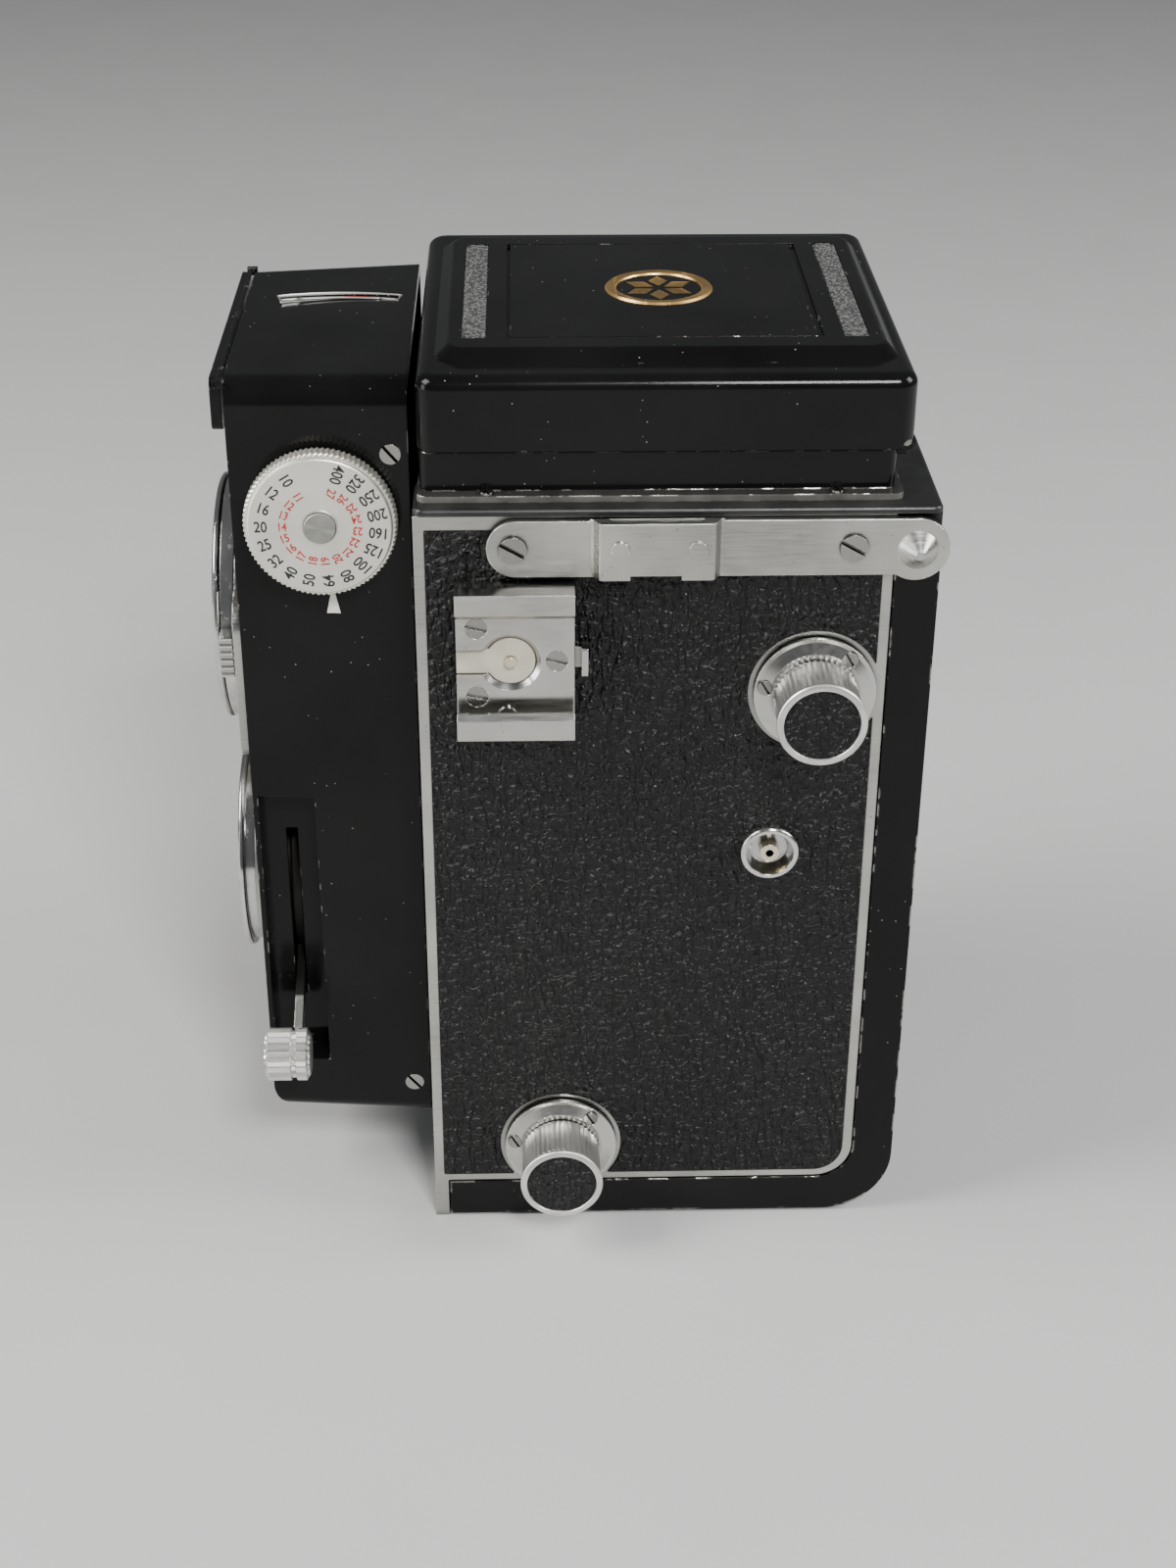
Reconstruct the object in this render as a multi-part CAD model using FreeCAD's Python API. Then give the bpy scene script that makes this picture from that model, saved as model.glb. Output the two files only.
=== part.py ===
import FreeCAD, Part
import math
import os

# Twin lens reflex camera, in millimetres.
# +X is the camera's own left side (film knobs, accessory shoe), -Y is the front (lenses), +Z is up.
# The origin is the mouth of the tripod bush, on the plane that the camera stands on.

V = FreeCAD.Vector
X_AXIS = V(1, 0, 0)
Y_AXIS = V(0, 1, 0)
Z_AXIS = V(0, 0, 1)

# Body casting
WALL_OUT = 36.6          # outer face of the casting's side walls
WALL_IN = 33.8           # inner face of the side walls
RIB_OUT = 35.2           # outer face of the light trap rib that sits inside the door
FRONT = -36.95           # front face of the body
FRONT_WALL = 2.0
REAR = 36.95             # rear face of the closed door
SIDE_REAR = 30.4         # where the casting's side ends and the door's edge begins
SIDE_LOW = 7.2           # where the casting's side ends above the door's bottom edge
CORNER = 6.0             # lower rear corner of the side
TOP = 124.6              # top face of the body
TOP_SLAB = 123.6
DECK_LOW = 122.1
HALF_WIDTH = 37.9        # painted body half width

# Optics
VIEW_Z = 94.5            # viewing lens axis
TAKE_Z = 49.5            # taking lens axis
GATE_HALF = 28.0

# Film transport
TAKE_UP = (20.2, 95.9)   # y, z of the take-up spool and of the upper knob
SUPPLY = (-16.6, 14.6)   # y, z of the supply spool and of the lower knob
SPOOL_R = 12.5
SPOOL_HALF = 32.6
CRANK = (-2.0, 84.0)
COUNTER = (-18.5, 104.0)
COUNTER_WINDOW_Y = -24.5
ROLLERS = {"upper_roller": (25.2, 81.6), "lower_roller": (25.2, 13.0)}

# Door hinge and shell
HINGE = (33.5, 118.5)
DOOR_WALL = 2.0
DOOR_CORNER = 11.0
RUN = 0.06               # radial running clearance

# Side trim
TRIM_OUT = 37.7
LEATHER_OUT = 37.95
BORDER_FRONT = -35.4
BORDER_REAR = 28.9
BORDER_LOW = 8.5
BORDER_TOP = 121.4
KNOB_BOSS_R = 9.7

# Hood
LID_HINGE = (32.0, 131.9)
FLANGE_TOP = 125.6       # sheet flange round the hood's base
LID_HALF = 34.0
LID_FRONT = -36.3
LID_REAR = 33.0
LID_LOW = 131.5
LID_EDGE = 142.2
LID_TOP = 143.8
WING_HINGE_X = 31.2
WING_HINGE_Z = 132.4
WING_HEIGHT = 29.0
PANEL_HINGE = (-33.6, 133.9)
PANEL_HEIGHT = 28.0
MAGNIFIER_PIVOT = (2.0, 137.0)
LEAF = 0.8               # thickness of the hood's sheet leaves

# Front standard
FACE = -63.3             # front face of the front housing
HOUSING_REAR = -37.6
HOUSING_HALF_REAR = 28.4
HOUSING_HALF_FRONT = 26.5
HOUSING_TOP = 139.7
HOUSING_LOW = 13.5
PLATE_FRONT = -65.0


def box(x0, x1, y0, y1, z0, z1):
    return Part.makeBox(x1 - x0, y1 - y0, z1 - z0, V(x0, y0, z0))


def cylinder_x(y, z, radius, x0, x1):
    return Part.makeCylinder(radius, x1 - x0, V(x0, y, z), X_AXIS)


def cylinder_y(x, z, radius, y0, y1):
    return Part.makeCylinder(radius, y1 - y0, V(x, y0, z), Y_AXIS)


def cylinder_z(x, y, radius, z0, z1):
    return Part.makeCylinder(radius, z1 - z0, V(x, y, z0), Z_AXIS)


def tube_x(y, z, outer, inner, x0, x1):
    return cylinder_x(y, z, outer, x0, x1).cut(cylinder_x(y, z, inner, x0 - 1, x1 + 1))


def tube_y(x, z, outer, inner, y0, y1):
    return cylinder_y(x, z, outer, y0, y1).cut(cylinder_y(x, z, inner, y0 - 1, y1 + 1))


def mirror_x(shape):
    return shape.mirror(V(0, 0, 0), X_AXIS)


def turned(shape, point, axis, degrees):
    copy = shape.copy()
    copy.rotate(point, axis, degrees)
    return copy


def moved(shape, x, y, z):
    copy = shape.copy()
    copy.translate(V(x, y, z))
    return copy


def join(*shapes):
    result = shapes[0]
    for shape in shapes[1:]:
        result = result.fuse(shape)
    return result.removeSplitter()


def prism_x(points, x0, x1):
    """Straight sided prism along X from (y, z) points."""
    ring = [V(x0, y, z) for y, z in points]
    return Part.Face(Part.makePolygon(ring + ring[:1])).extrude(V(x1 - x0, 0, 0))


def prism_z(points, z0, z1):
    """Straight sided prism along Z from (x, y) points."""
    ring = [V(x, y, z0) for x, y in points]
    return Part.Face(Part.makePolygon(ring + ring[:1])).extrude(V(0, 0, z1 - z0))


def side_block(x0, x1, y0, y1, z0, z1, radius):
    """Block whose lower rear corner, seen from the side, is rounded."""
    block = box(x0, x1, y0, y1, z0, z1)
    corner = box(x0 - 1, x1 + 1, y1 - radius, y1 + 1, z0 - 1, z0 + radius)
    return block.cut(corner.cut(cylinder_x(y1 - radius, z0 + radius, radius, x0 - 1, x1 + 1)))


def rounded_block_y(half, z0, z1, y0, y1, radius):
    """Block along Y with four rounded edges."""
    block = box(-half, half, y0, y1, z0, z1)
    edges = [e for e in block.Edges if abs(e.tangentAt(e.FirstParameter).y) > 0.9]
    return block.makeFillet(radius, edges)


def rounded_block_z(x0, x1, y0, y1, z0, z1, radius):
    """Block along Z with four rounded edges."""
    block = box(x0, x1, y0, y1, z0, z1)
    edges = [e for e in block.Edges if abs(e.tangentAt(e.FirstParameter).z) > 0.9]
    return block.makeFillet(radius, edges)


def frame_wire(half, z0, z1, y, radius_top, radius_low):
    """Closed outline in an XZ plane, with rounded upper and lower corners."""
    k = math.sqrt(0.5)

    def corner(cx, cz, radius, sx, sz):
        start = V(cx, y, cz + sz * radius)
        middle = V(cx + sx * k * radius, y, cz + sz * k * radius)
        end = V(cx + sx * radius, y, cz)
        return start, middle, end

    top_right = corner(half - radius_top, z1 - radius_top, radius_top, 1, 1)
    low_right = corner(half - radius_low, z0 + radius_low, radius_low, 1, -1)[::-1]
    low_left = corner(radius_low - half, z0 + radius_low, radius_low, -1, -1)
    top_left = corner(radius_top - half, z1 - radius_top, radius_top, -1, 1)[::-1]
    corners = [top_right, low_right, low_left, top_left]
    edges = []
    for index, arc in enumerate(corners):
        following = corners[(index + 1) % 4]
        edges.append(Part.Arc(*arc).toShape())
        edges.append(Part.makeLine(arc[2], following[0]))
    return Part.Wire(edges)


def slotted_head(x, y, z, axis, radius, height, slot_degrees):
    """Round screw head standing on (x, y, z) along an axis, with a driver slot."""
    head = Part.makeCylinder(radius, height, V(x, y, z), axis)
    slot = Part.makeBox(3 * radius, 0.3 * radius, height, V(-1.5 * radius, -0.15 * radius, height * 0.45))
    slot.rotate(V(0, 0, 0), Z_AXIS, slot_degrees)
    slot.Placement = FreeCAD.Placement(V(x, y, z), FreeCAD.Rotation(Z_AXIS, axis)).multiply(slot.Placement)
    return head.cut(slot)


parts = {}


# ---------------------------------------------------------------- body casting
def body_casting():
    shell = side_block(-WALL_OUT, WALL_OUT, FRONT, SIDE_REAR, SIDE_LOW, TOP_SLAB, CORNER)
    rib = side_block(-RIB_OUT, RIB_OUT, FRONT, 34.3, 2.4, 114.0, DOOR_CORNER - 2.4)
    deck = box(-WALL_OUT, WALL_OUT, SIDE_REAR - 1, REAR, DECK_LOW, TOP_SLAB)
    slab = rounded_block_z(-HALF_WIDTH, HALF_WIDTH, FRONT, REAR, TOP_SLAB, TOP, 1.5)
    top_edges = [e for e in slab.Edges if abs(e.CenterOfMass.z - TOP) < 0.01]
    slab = slab.makeFillet(0.7, top_edges)
    foot = box(-WALL_OUT, WALL_OUT, FRONT, FRONT + FRONT_WALL, 0, SIDE_LOW + 1)
    ear = join(cylinder_x(HINGE[0], HINGE[1], 3.4, -WALL_OUT, WALL_OUT),
               box(-WALL_OUT, WALL_OUT, SIDE_REAR - 1, REAR, HINGE[1], TOP_SLAB))
    casting = join(shell, rib, deck, slab, foot, ear)

    inner_front = FRONT + FRONT_WALL
    cavity = box(-WALL_IN, WALL_IN, inner_front, 60, 2.4, DECK_LOW)
    casting = casting.cut(cavity)
    casting = casting.cut(box(-60, 60, inner_front, 60, -10, 2.4))
    hinge_rail = box(-WALL_IN, WALL_IN, 28.4, 29.9, 110, DECK_LOW)
    casting = join(casting, hinge_rail)

    # openings for the front standard's light sleeve and for the focusing screen
    casting = casting.cut(box(-24.1, 24.1, FRONT - 1, inner_front + 1, 30.9, 117.1))
    casting = casting.cut(box(-28.5, 28.5, -29.5, 26.0, DECK_LOW - 1, TOP + 1))

    # spool pivot of the supply chamber, then the bores of everything that turns in a side wall
    casting = join(casting, cylinder_x(SUPPLY[0], SUPPLY[1], 2.7, -WALL_IN - 0.5, -29.5))
    bores = [cylinder_x(TAKE_UP[0], TAKE_UP[1], 2.8 + RUN, 30, 40),
             cylinder_x(SUPPLY[0], SUPPLY[1], 2.8 + RUN, 30, 40),
             cylinder_x(TAKE_UP[0], TAKE_UP[1], 4.0 + RUN, -36.3, -30),
             cylinder_x(CRANK[0], CRANK[1], 3.0 + RUN, -40, -34.6),
             cylinder_x(COUNTER[0], COUNTER[1], 1.0 + RUN, -35.6, -30),
             cylinder_x(COUNTER_WINDOW_Y, COUNTER[1], 3.6, -40, -30),
             cylinder_x(HINGE[0], HINGE[1], 1.5, -40, 40)]
    for y, z in ROLLERS.values():
        bores.append(cylinder_x(y, z, 1.2 + RUN, -34.9, 34.9))
    for bore in bores:
        casting = casting.cut(bore)
    return casting


def film_gate():
    plate = box(-33.7, 33.7, 26.2, 27.9, 17.0, 78.8)
    outer = Part.makeLoft([frame_wire(29.1, 20.4, 78.6, 26.3, 1, 1),
                           frame_wire(22.5, 35.0, 64.0, -26.3, 1, 1)], True)
    inner = Part.makeLoft([frame_wire(GATE_HALF, 21.5, 77.5, 28.0, 0.6, 0.6),
                           frame_wire(21.0, 36.2, 62.8, -26.6, 0.6, 0.6)], True)
    return join(plate, outer).cut(inner)


def reflex_mirror():
    length = 70.0
    glass = box(-28.4, 28.4, -length / 2, length / 2, 0, 1.8)
    glass = turned(glass, V(0, 0, 0), X_AXIS, 45)
    return moved(glass, 0, 0.4, VIEW_Z + 0.4)


parts["body_casting"] = body_casting()
parts["film_gate"] = film_gate()
parts["reflex_mirror"] = reflex_mirror()
parts["focusing_screen"] = box(-30.0, 30.0, -30.5, 27.0, TOP, TOP + 1.8)


# ---------------------------------------------------------------- side trim, leatherette, strap bars
def trim_outline(x0, x1):
    side = side_block(x0, x1, FRONT, SIDE_REAR, SIDE_LOW, TOP_SLAB, CORNER)
    strip = box(x0, x1, FRONT, -34.8, 0, SIDE_LOW + 1)
    ear_room = cylinder_x(HINGE[0], HINGE[1], 3.0, x0 - 1, x1 + 1)
    return join(side, strip).cut(ear_room)


def leather_window(x0, x1, inset, axes):
    window = side_block(x0, x1, BORDER_FRONT + inset, BORDER_REAR - inset,
                        BORDER_LOW + inset, BORDER_TOP - inset, CORNER - 1.4)
    for y, z in axes:
        window = window.cut(cylinder_x(y, z, KNOB_BOSS_R + inset, x0 - 1, x1 + 1))
    return window


def trim_plate(axes):
    plate = trim_outline(WALL_OUT, TRIM_OUT).cut(leather_window(WALL_OUT - 1, TRIM_OUT + 1, 0, axes))
    for y, z in axes:
        plate = plate.cut(cylinder_x(y, z, 2.8 + RUN, 30, 40))
    return plate


KNOB_AXES = [TAKE_UP, SUPPLY]
SYNC_SOCKET = (14.7, 69.5)

left_leather = leather_window(WALL_OUT, LEATHER_OUT, 0.05, KNOB_AXES)
left_leather = left_leather.cut(cylinder_x(SYNC_SOCKET[0], SYNC_SOCKET[1], 4.4, 30, 40))
right_leather = mirror_x(leather_window(WALL_OUT, LEATHER_OUT, 0.05, []))
right_leather = right_leather.cut(cylinder_x(CRANK[0], CRANK[1], 9.0, -40, -30))
right_leather = right_leather.cut(cylinder_x(COUNTER_WINDOW_Y, COUNTER[1], 5.2, -40, -30))
parts["left_trim_plate"] = trim_plate(KNOB_AXES)
parts["right_trim_plate"] = mirror_x(trim_plate([]))
parts["left_leatherette"] = left_leather
parts["right_leatherette"] = right_leather

BAR_Z = 119.0
BAR_HALF = 4.2
BAR_IN = 38.0
BAR_OUT = 38.9
BRIDGE_OUT = 40.8
BAR_SCREWS = [-23.1, 24.5]


def strap_bar():
    bar = join(box(BAR_IN, BAR_OUT, -22.6, 33.3, BAR_Z - BAR_HALF, BAR_Z + BAR_HALF),
               cylinder_x(-22.6, BAR_Z, BAR_HALF, BAR_IN, BAR_OUT),
               cylinder_x(33.3, BAR_Z - 0.4, BAR_HALF + 0.45, BAR_IN, BAR_OUT))
    # raised bridge that a strap's clip slides under, with a joggle at each end
    low, high = BAR_Z - 4.0, BAR_Z + 4.5
    bridge = prism_z([(BAR_OUT - 0.1, -12.4), (BAR_OUT + 0.2, -11.9), (BRIDGE_OUT - 0.2, -11.1),
                      (BRIDGE_OUT, -10.7), (BRIDGE_OUT, 4.6), (BRIDGE_OUT - 0.2, 5.0),
                      (BAR_OUT + 0.2, 5.8), (BAR_OUT - 0.1, 6.3)], low, high)
    tunnel = box(BAR_OUT, BRIDGE_OUT - 0.8, -9.6, 3.5, low - 1, high + 1)
    notch = box(BRIDGE_OUT - 0.9, 43, -6.8, 0.4, low - 1, low + 0.7)
    rivets = [cylinder_x(y, 119.6, 1.3, BRIDGE_OUT - 0.1, BRIDGE_OUT + 0.3) for y in (-8.2, 2.6)]
    bridge = join(bridge.cut(tunnel).cut(notch), *rivets)
    stud = Part.makeCone(2.9, 0.6, 2.2, V(BAR_OUT, HINGE[0], HINGE[1]), X_AXIS)
    bar = join(bar, bridge, stud)
    for y in BAR_SCREWS:
        bar = bar.cut(cylinder_x(y, BAR_Z, 2.0, BAR_OUT - 0.5, 45))
    return bar


parts["left_strap_bar"] = strap_bar()
parts["right_strap_bar"] = mirror_x(strap_bar())

HOOD_SCREWS = [-26.7, 22.2]
case_screws = []
for y in BAR_SCREWS:
    left_screw = slotted_head(BAR_OUT - 0.5, y, BAR_Z, X_AXIS, 2.0, 1.1, 60)
    case_screws += [left_screw, mirror_x(left_screw)]
for y in HOOD_SCREWS:
    hood_screw = slotted_head(34.5, y, FLANGE_TOP, Z_AXIS, 0.98, 0.4, 20)
    case_screws += [hood_screw, mirror_x(hood_screw)]
parts["case_screws"] = Part.makeCompound(case_screws)

# ---------------------------------------------------------------- accessory shoe and sync socket
SHOE_Y = (-31.3, -14.5)
SHOE_Z = (91.2, 114.0)
SHOE_BASE = (LEATHER_OUT, 39.9)
LIP_IN = 42.0
LIP_OUT = 43.3
LIP_DEPTH = 3.9
SHOE_WEB = 2.0
SHOE_CENTRE = (-23.6, 102.0)


def shoe_rail(z_outer, z_inner):
    """Rail with a lip over the flash foot; its inner edge is bevelled."""
    y0, y1 = SHOE_Y
    way = 1 if z_inner > z_outer else -1
    web = z_outer + way * SHOE_WEB
    profile = [(SHOE_BASE[1] - 0.1, z_outer), (LIP_OUT, z_outer), (LIP_OUT, z_inner - way * 0.8),
               (LIP_OUT - 0.8, z_inner), (LIP_IN, z_inner), (LIP_IN, web), (SHOE_BASE[1] - 0.1, web)]
    ring = [V(x, y0, z) for x, z in profile]
    return Part.Face(Part.makePolygon(ring + ring[:1])).extrude(V(0, y1 - y0, 0))


def accessory_shoe():
    y0, y1 = SHOE_Y
    z0, z1 = SHOE_Z
    base = box(SHOE_BASE[0], SHOE_BASE[1], y0, y1, z0, z1)
    rails = [shoe_rail(z0, z0 + LIP_DEPTH), shoe_rail(z1, z1 - LIP_DEPTH)]
    stop = join(box(38.4, 39.4, y1 - 0.4, y1 + 1.0, 101.0, 104.2),
                box(38.4, 41.6, y1 + 1.0, y1 + 1.9, 100.4, 104.8).cut(
                    cylinder_y(42.6, 99.4, 1.6, y1, y1 + 3)).cut(cylinder_y(42.6, 105.8, 1.6, y1, y1 + 3)))
    plunger = cylinder_x(SHOE_CENTRE[0] - 0.5, z0 + 2.6, 1.35, SHOE_BASE[1] - 0.1, SHOE_BASE[1] + 0.5)
    shoe = join(base, *rails, stop, plunger)
    shoe = shoe.cut(keyhole(38.9, 45, 0))
    shoe = shoe.cut(Part.makeCone(3.6, 4.4, 0.8, V(SHOE_BASE[1] - 0.8, *SHOE_CENTRE), X_AXIS))
    for y, z in SHOE_SCREWS:
        shoe = shoe.cut(cylinder_x(y, z, 1.6, SHOE_BASE[1] - 0.5, SHOE_BASE[1] + 1))
    return shoe


def keyhole(x0, x1, inset):
    """Round recess with a channel that runs out at the front edge of the shoe."""
    y, z = SHOE_CENTRE
    return join(cylinder_x(y, z, 3.6 - inset, x0, x1),
                box(x0, x1, SHOE_Y[0] - (1 if inset == 0 else 0), y, z - 1.95 + inset, z + 1.95 - inset))


SHOE_SCREWS = [(-28.4, 107.4), (-28.4, 96.6), (-17.0, 102.2)]
parts["accessory_shoe"] = accessory_shoe()
parts["shoe_insulator"] = keyhole(38.9, 39.3, 0.05).cut(cylinder_x(SHOE_CENTRE[0], SHOE_CENTRE[1], 0.85, 30, 45))
shoe_contact = cylinder_x(SHOE_CENTRE[0], SHOE_CENTRE[1], 0.85, 38.9, 40.0)


def sync_socket_ring():
    """Round socket with a rolled rim and a mouth that widens outwards."""
    y, z = SYNC_SOCKET
    ring = cylinder_x(y, z, 4.4, WALL_OUT, 39.6)
    rim = [e for e in ring.Edges if abs(e.CenterOfMass.x - 39.6) < 0.01]
    ring = ring.makeFillet(0.5, rim)
    return ring.cut(Part.makeCone(2.8, 3.6, 2.4, V(37.3, y, z), X_AXIS))


parts["sync_socket_ring"] = sync_socket_ring()
socket_contact = tube_x(SYNC_SOCKET[0], SYNC_SOCKET[1], 1.45, 0.6, 37.3, 39.3)
parts["flash_contacts"] = Part.makeCompound([shoe_contact, socket_contact])

# ---------------------------------------------------------------- film knobs
FLANGE_R = 8.85
FLANGE_FOOT_R = 7.0
FLANGE_IN = 38.1         # the flange's rim stands clear of the door's edge
FLANGE_RIM = 38.7
FLANGE_OUT = 39.3


def knob_flange(y, z):
    rim = join(cylinder_x(y, z, FLANGE_FOOT_R, TRIM_OUT, FLANGE_IN + 0.1),
               cylinder_x(y, z, FLANGE_R, FLANGE_IN, FLANGE_RIM))
    cone = Part.makeCone(FLANGE_R - 0.3, 6.7, FLANGE_OUT - FLANGE_RIM + 0.1, V(FLANGE_RIM - 0.1, y, z), X_AXIS)
    flange = join(rim, cone).cut(cylinder_x(y, z, 2.8 + RUN, 30, 45))
    for offset_y, offset_z in flange_screw_places():
        flange = flange.cut(cylinder_x(y + offset_y, z + offset_z, 1.15, 38.4, 45))
    return flange


def flange_screw_places():
    places = []
    for degrees in (50, 170, 290):
        angle = math.radians(degrees)
        places.append((7.35 * math.cos(angle), 7.35 * math.sin(angle)))
    return places


def film_knob(y, z):
    stem = cylinder_x(y, z, 2.8, 29.6, FLANGE_OUT + 0.3)
    grip = cylinder_x(y, z, 5.9, FLANGE_OUT + 0.15, 47.2)
    cap = cylinder_x(y, z, 6.45, 46.6, 48.5)
    cap = cap.makeFillet(0.4, [e for e in cap.Edges if e.Length > 30])
    return join(stem, grip, cap)


parts["knob_flanges"] = Part.makeCompound([knob_flange(y, z) for y, z in KNOB_AXES])
small_screws = []
for y, z in KNOB_AXES:
    for offset_y, offset_z in flange_screw_places():
        small_screws.append(slotted_head(38.4, y + offset_y, z + offset_z, X_AXIS, 1.15, 0.8, 30))
for y, z in SHOE_SCREWS:
    small_screws.append(slotted_head(SHOE_BASE[1] - 0.5, y, z, X_AXIS, 1.6, 0.5, 75))
parts["small_screws"] = Part.makeCompound(small_screws)
parts["upper_knob"] = film_knob(*TAKE_UP)
parts["lower_knob"] = film_knob(*SUPPLY)


def take_up_spool():
    y, z = TAKE_UP
    spool = join(cylinder_x(y, z, 6.0, -SPOOL_HALF, SPOOL_HALF),
                 cylinder_x(y, z, SPOOL_R, -SPOOL_HALF, -SPOOL_HALF + 1.2),
                 cylinder_x(y, z, SPOOL_R, SPOOL_HALF - 1.2, SPOOL_HALF))
    hole = cylinder_x(y, z, 3.0, -40, 40)
    key_slot = box(-40, -28, y - 4.6, y + 4.6, z - 0.7, z + 0.7)
    return spool.cut(hole).cut(key_slot)


def take_up_shaft():
    y, z = TAKE_UP
    key = box(-33.4, -29.5, y - 4.2, y + 4.2, z - 0.5, z + 0.5)
    return join(cylinder_x(y, z, 4.0, -36.2, -33.2), cylinder_x(y, z, 2.8, -33.3, -29.5), key)


parts["take_up_spool"] = take_up_spool()
parts["take_up_shaft"] = take_up_shaft()


def roller(y, z):
    return join(cylinder_x(y, z, 2.4, -32.5, 32.5), cylinder_x(y, z, 1.2, -34.7, 34.7))


for name, (y, z) in ROLLERS.items():
    parts[name] = roller(y, z)

# ---------------------------------------------------------------- wind crank and frame counter
CRANK_ARM = 25.0
HANDLE_X = -46.2
HANDLE_Z = CRANK[1] - CRANK_ARM


def wind_crank():
    y, z = CRANK
    shaft = cylinder_x(y, z, 3.0, -39.0, -34.8)
    hub = cylinder_x(y, z, 8.6, -40.9, -38.3)
    arm = join(box(-42.4, -40.8, y - 4.0, y + 4.0, HANDLE_Z, z),
               cylinder_x(y, z, 6.5, -42.4, -40.8),
               cylinder_x(y, HANDLE_Z, 4.0, -42.4, -40.8))
    lug = join(box(-46.2, -42.3, y + 3.0, y + 4.2, HANDLE_Z - 2.2, HANDLE_Z + 2.2),
               cylinder_y(HANDLE_X, HANDLE_Z, 2.2, y + 3.0, y + 4.2))
    other_lug = moved(lug, 0, -7.2, 0)
    bore = cylinder_y(HANDLE_X, HANDLE_Z, 0.9, y - 6, y + 6)
    return join(shaft, hub, arm, lug, other_lug).cut(bore)


def crank_handle():
    y = CRANK[0]
    eye = cylinder_y(HANDLE_X, HANDLE_Z, 2.2, y - 2.85, y + 2.85)
    pin = cylinder_y(HANDLE_X, HANDLE_Z, 0.84, y - 4.2, y + 4.2)
    neck = cylinder_z(HANDLE_X, y, 1.9, HANDLE_Z, HANDLE_Z + 4)
    grip = cylinder_z(HANDLE_X, y, 3.3, HANDLE_Z + 3.4, HANDLE_Z + 18)
    grip = grip.makeFillet(0.8, [e for e in grip.Edges if e.Length > 15])
    return join(eye, pin, neck, grip)


parts["crank_bearing"] = mirror_x(tube_x(CRANK[0], CRANK[1], 9.0, 3.0 + RUN, WALL_OUT, 38.2))
parts["wind_crank"] = wind_crank()
parts["crank_handle"] = crank_handle()
parts["counter_disc"] = join(cylinder_x(COUNTER[0], COUNTER[1], 9.4, -33.6, -32.8),
                             cylinder_x(COUNTER[0], COUNTER[1], 1.0, -35.4, -33.5))
parts["counter_window"] = mirror_x(join(
    cylinder_x(COUNTER_WINDOW_Y, COUNTER[1], 3.6, 35.4, 37.0),
    tube_x(COUNTER_WINDOW_Y, COUNTER[1], 5.2, 3.0, WALL_OUT, 38.3)))


# ---------------------------------------------------------------- back door
def door_shell():
    outer = side_block(-HALF_WIDTH, HALF_WIDTH, -34.5, REAR, 0.6, 114.7, DOOR_CORNER)
    hollow = side_block(-RIB_OUT - 0.3, RIB_OUT + 0.3, -60, REAR - DOOR_WALL, 2.2, 140, DOOR_CORNER - 2.0)
    side_room = side_block(-60, 60, -60, SIDE_REAR + 0.2, SIDE_LOW - 0.2, 140, CORNER + 0.1)
    shell = outer.cut(hollow).cut(side_room)
    neck = box(-33.4, 33.4, REAR - DOOR_WALL, REAR, 114.0, HINGE[1])
    knuckle = cylinder_x(HINGE[0], HINGE[1], 3.3, -33.4, 33.4)
    shell = join(shell, neck, knuckle).cut(cylinder_x(HINGE[0], HINGE[1], 1.5 + RUN, -40, 40))
    lock_room = cylinder_z(0, 0, 13.1, 0, 1.2)
    bush_room = cylinder_z(0, 0, 5.4, -1, 4)
    shell = shell.cut(lock_room).cut(bush_room)
    feet = [cylinder_z(x, y, 3.0, 0.0, 0.8) for x in (-29, 29) for y in (-27, 24)]
    return join(shell, *feet)


DOOR_SPLIT_Z = 12.0      # the back wall meets the floor pan just above the rounded corner
PRESSURE_FRONT = 29.3
whole_door = door_shell()
parts["door_back"] = whole_door.cut(box(-60, 60, -60, 60, -10, DOOR_SPLIT_Z))
parts["door_floor"] = whole_door.common(box(-60, 60, -60, 60, -10, DOOR_SPLIT_Z))
parts["door_leatherette"] = rounded_block_y(34.0, 14.0, 112.0, REAR, REAR + 0.35, 3.0)
parts["pressure_plate"] = join(
    rounded_block_y(31.5, 22.0, 76.8, PRESSURE_FRONT, PRESSURE_FRONT + 1.2, 2.0),
    box(-10, 10, PRESSURE_FRONT + 1.1, REAR - DOOR_WALL, 40, 60))
parts["tripod_bush"] = cylinder_z(0, 0, 5.4, 0.0, 7.6).cut(cylinder_z(0, 0, 2.65, -1, 6.5))
lock_tab = box(9.0, 12.6, -1.6, 1.6, 0.0, 0.7)
parts["door_lock_ring"] = join(cylinder_z(0, 0, 13.0, 0.25, 1.1), lock_tab).cut(cylinder_z(0, 0, 5.5, -1, 3))

# ---------------------------------------------------------------- hood
BASE_KNUCKLES = [(-31.8, -24.2), (-6.0, 6.0), (24.2, 31.8)]
LID_KNUCKLES = [(-23.9, -6.3), (6.3, 23.9)]
KNUCKLE_R = 1.25
PIN_R = 0.7


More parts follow.
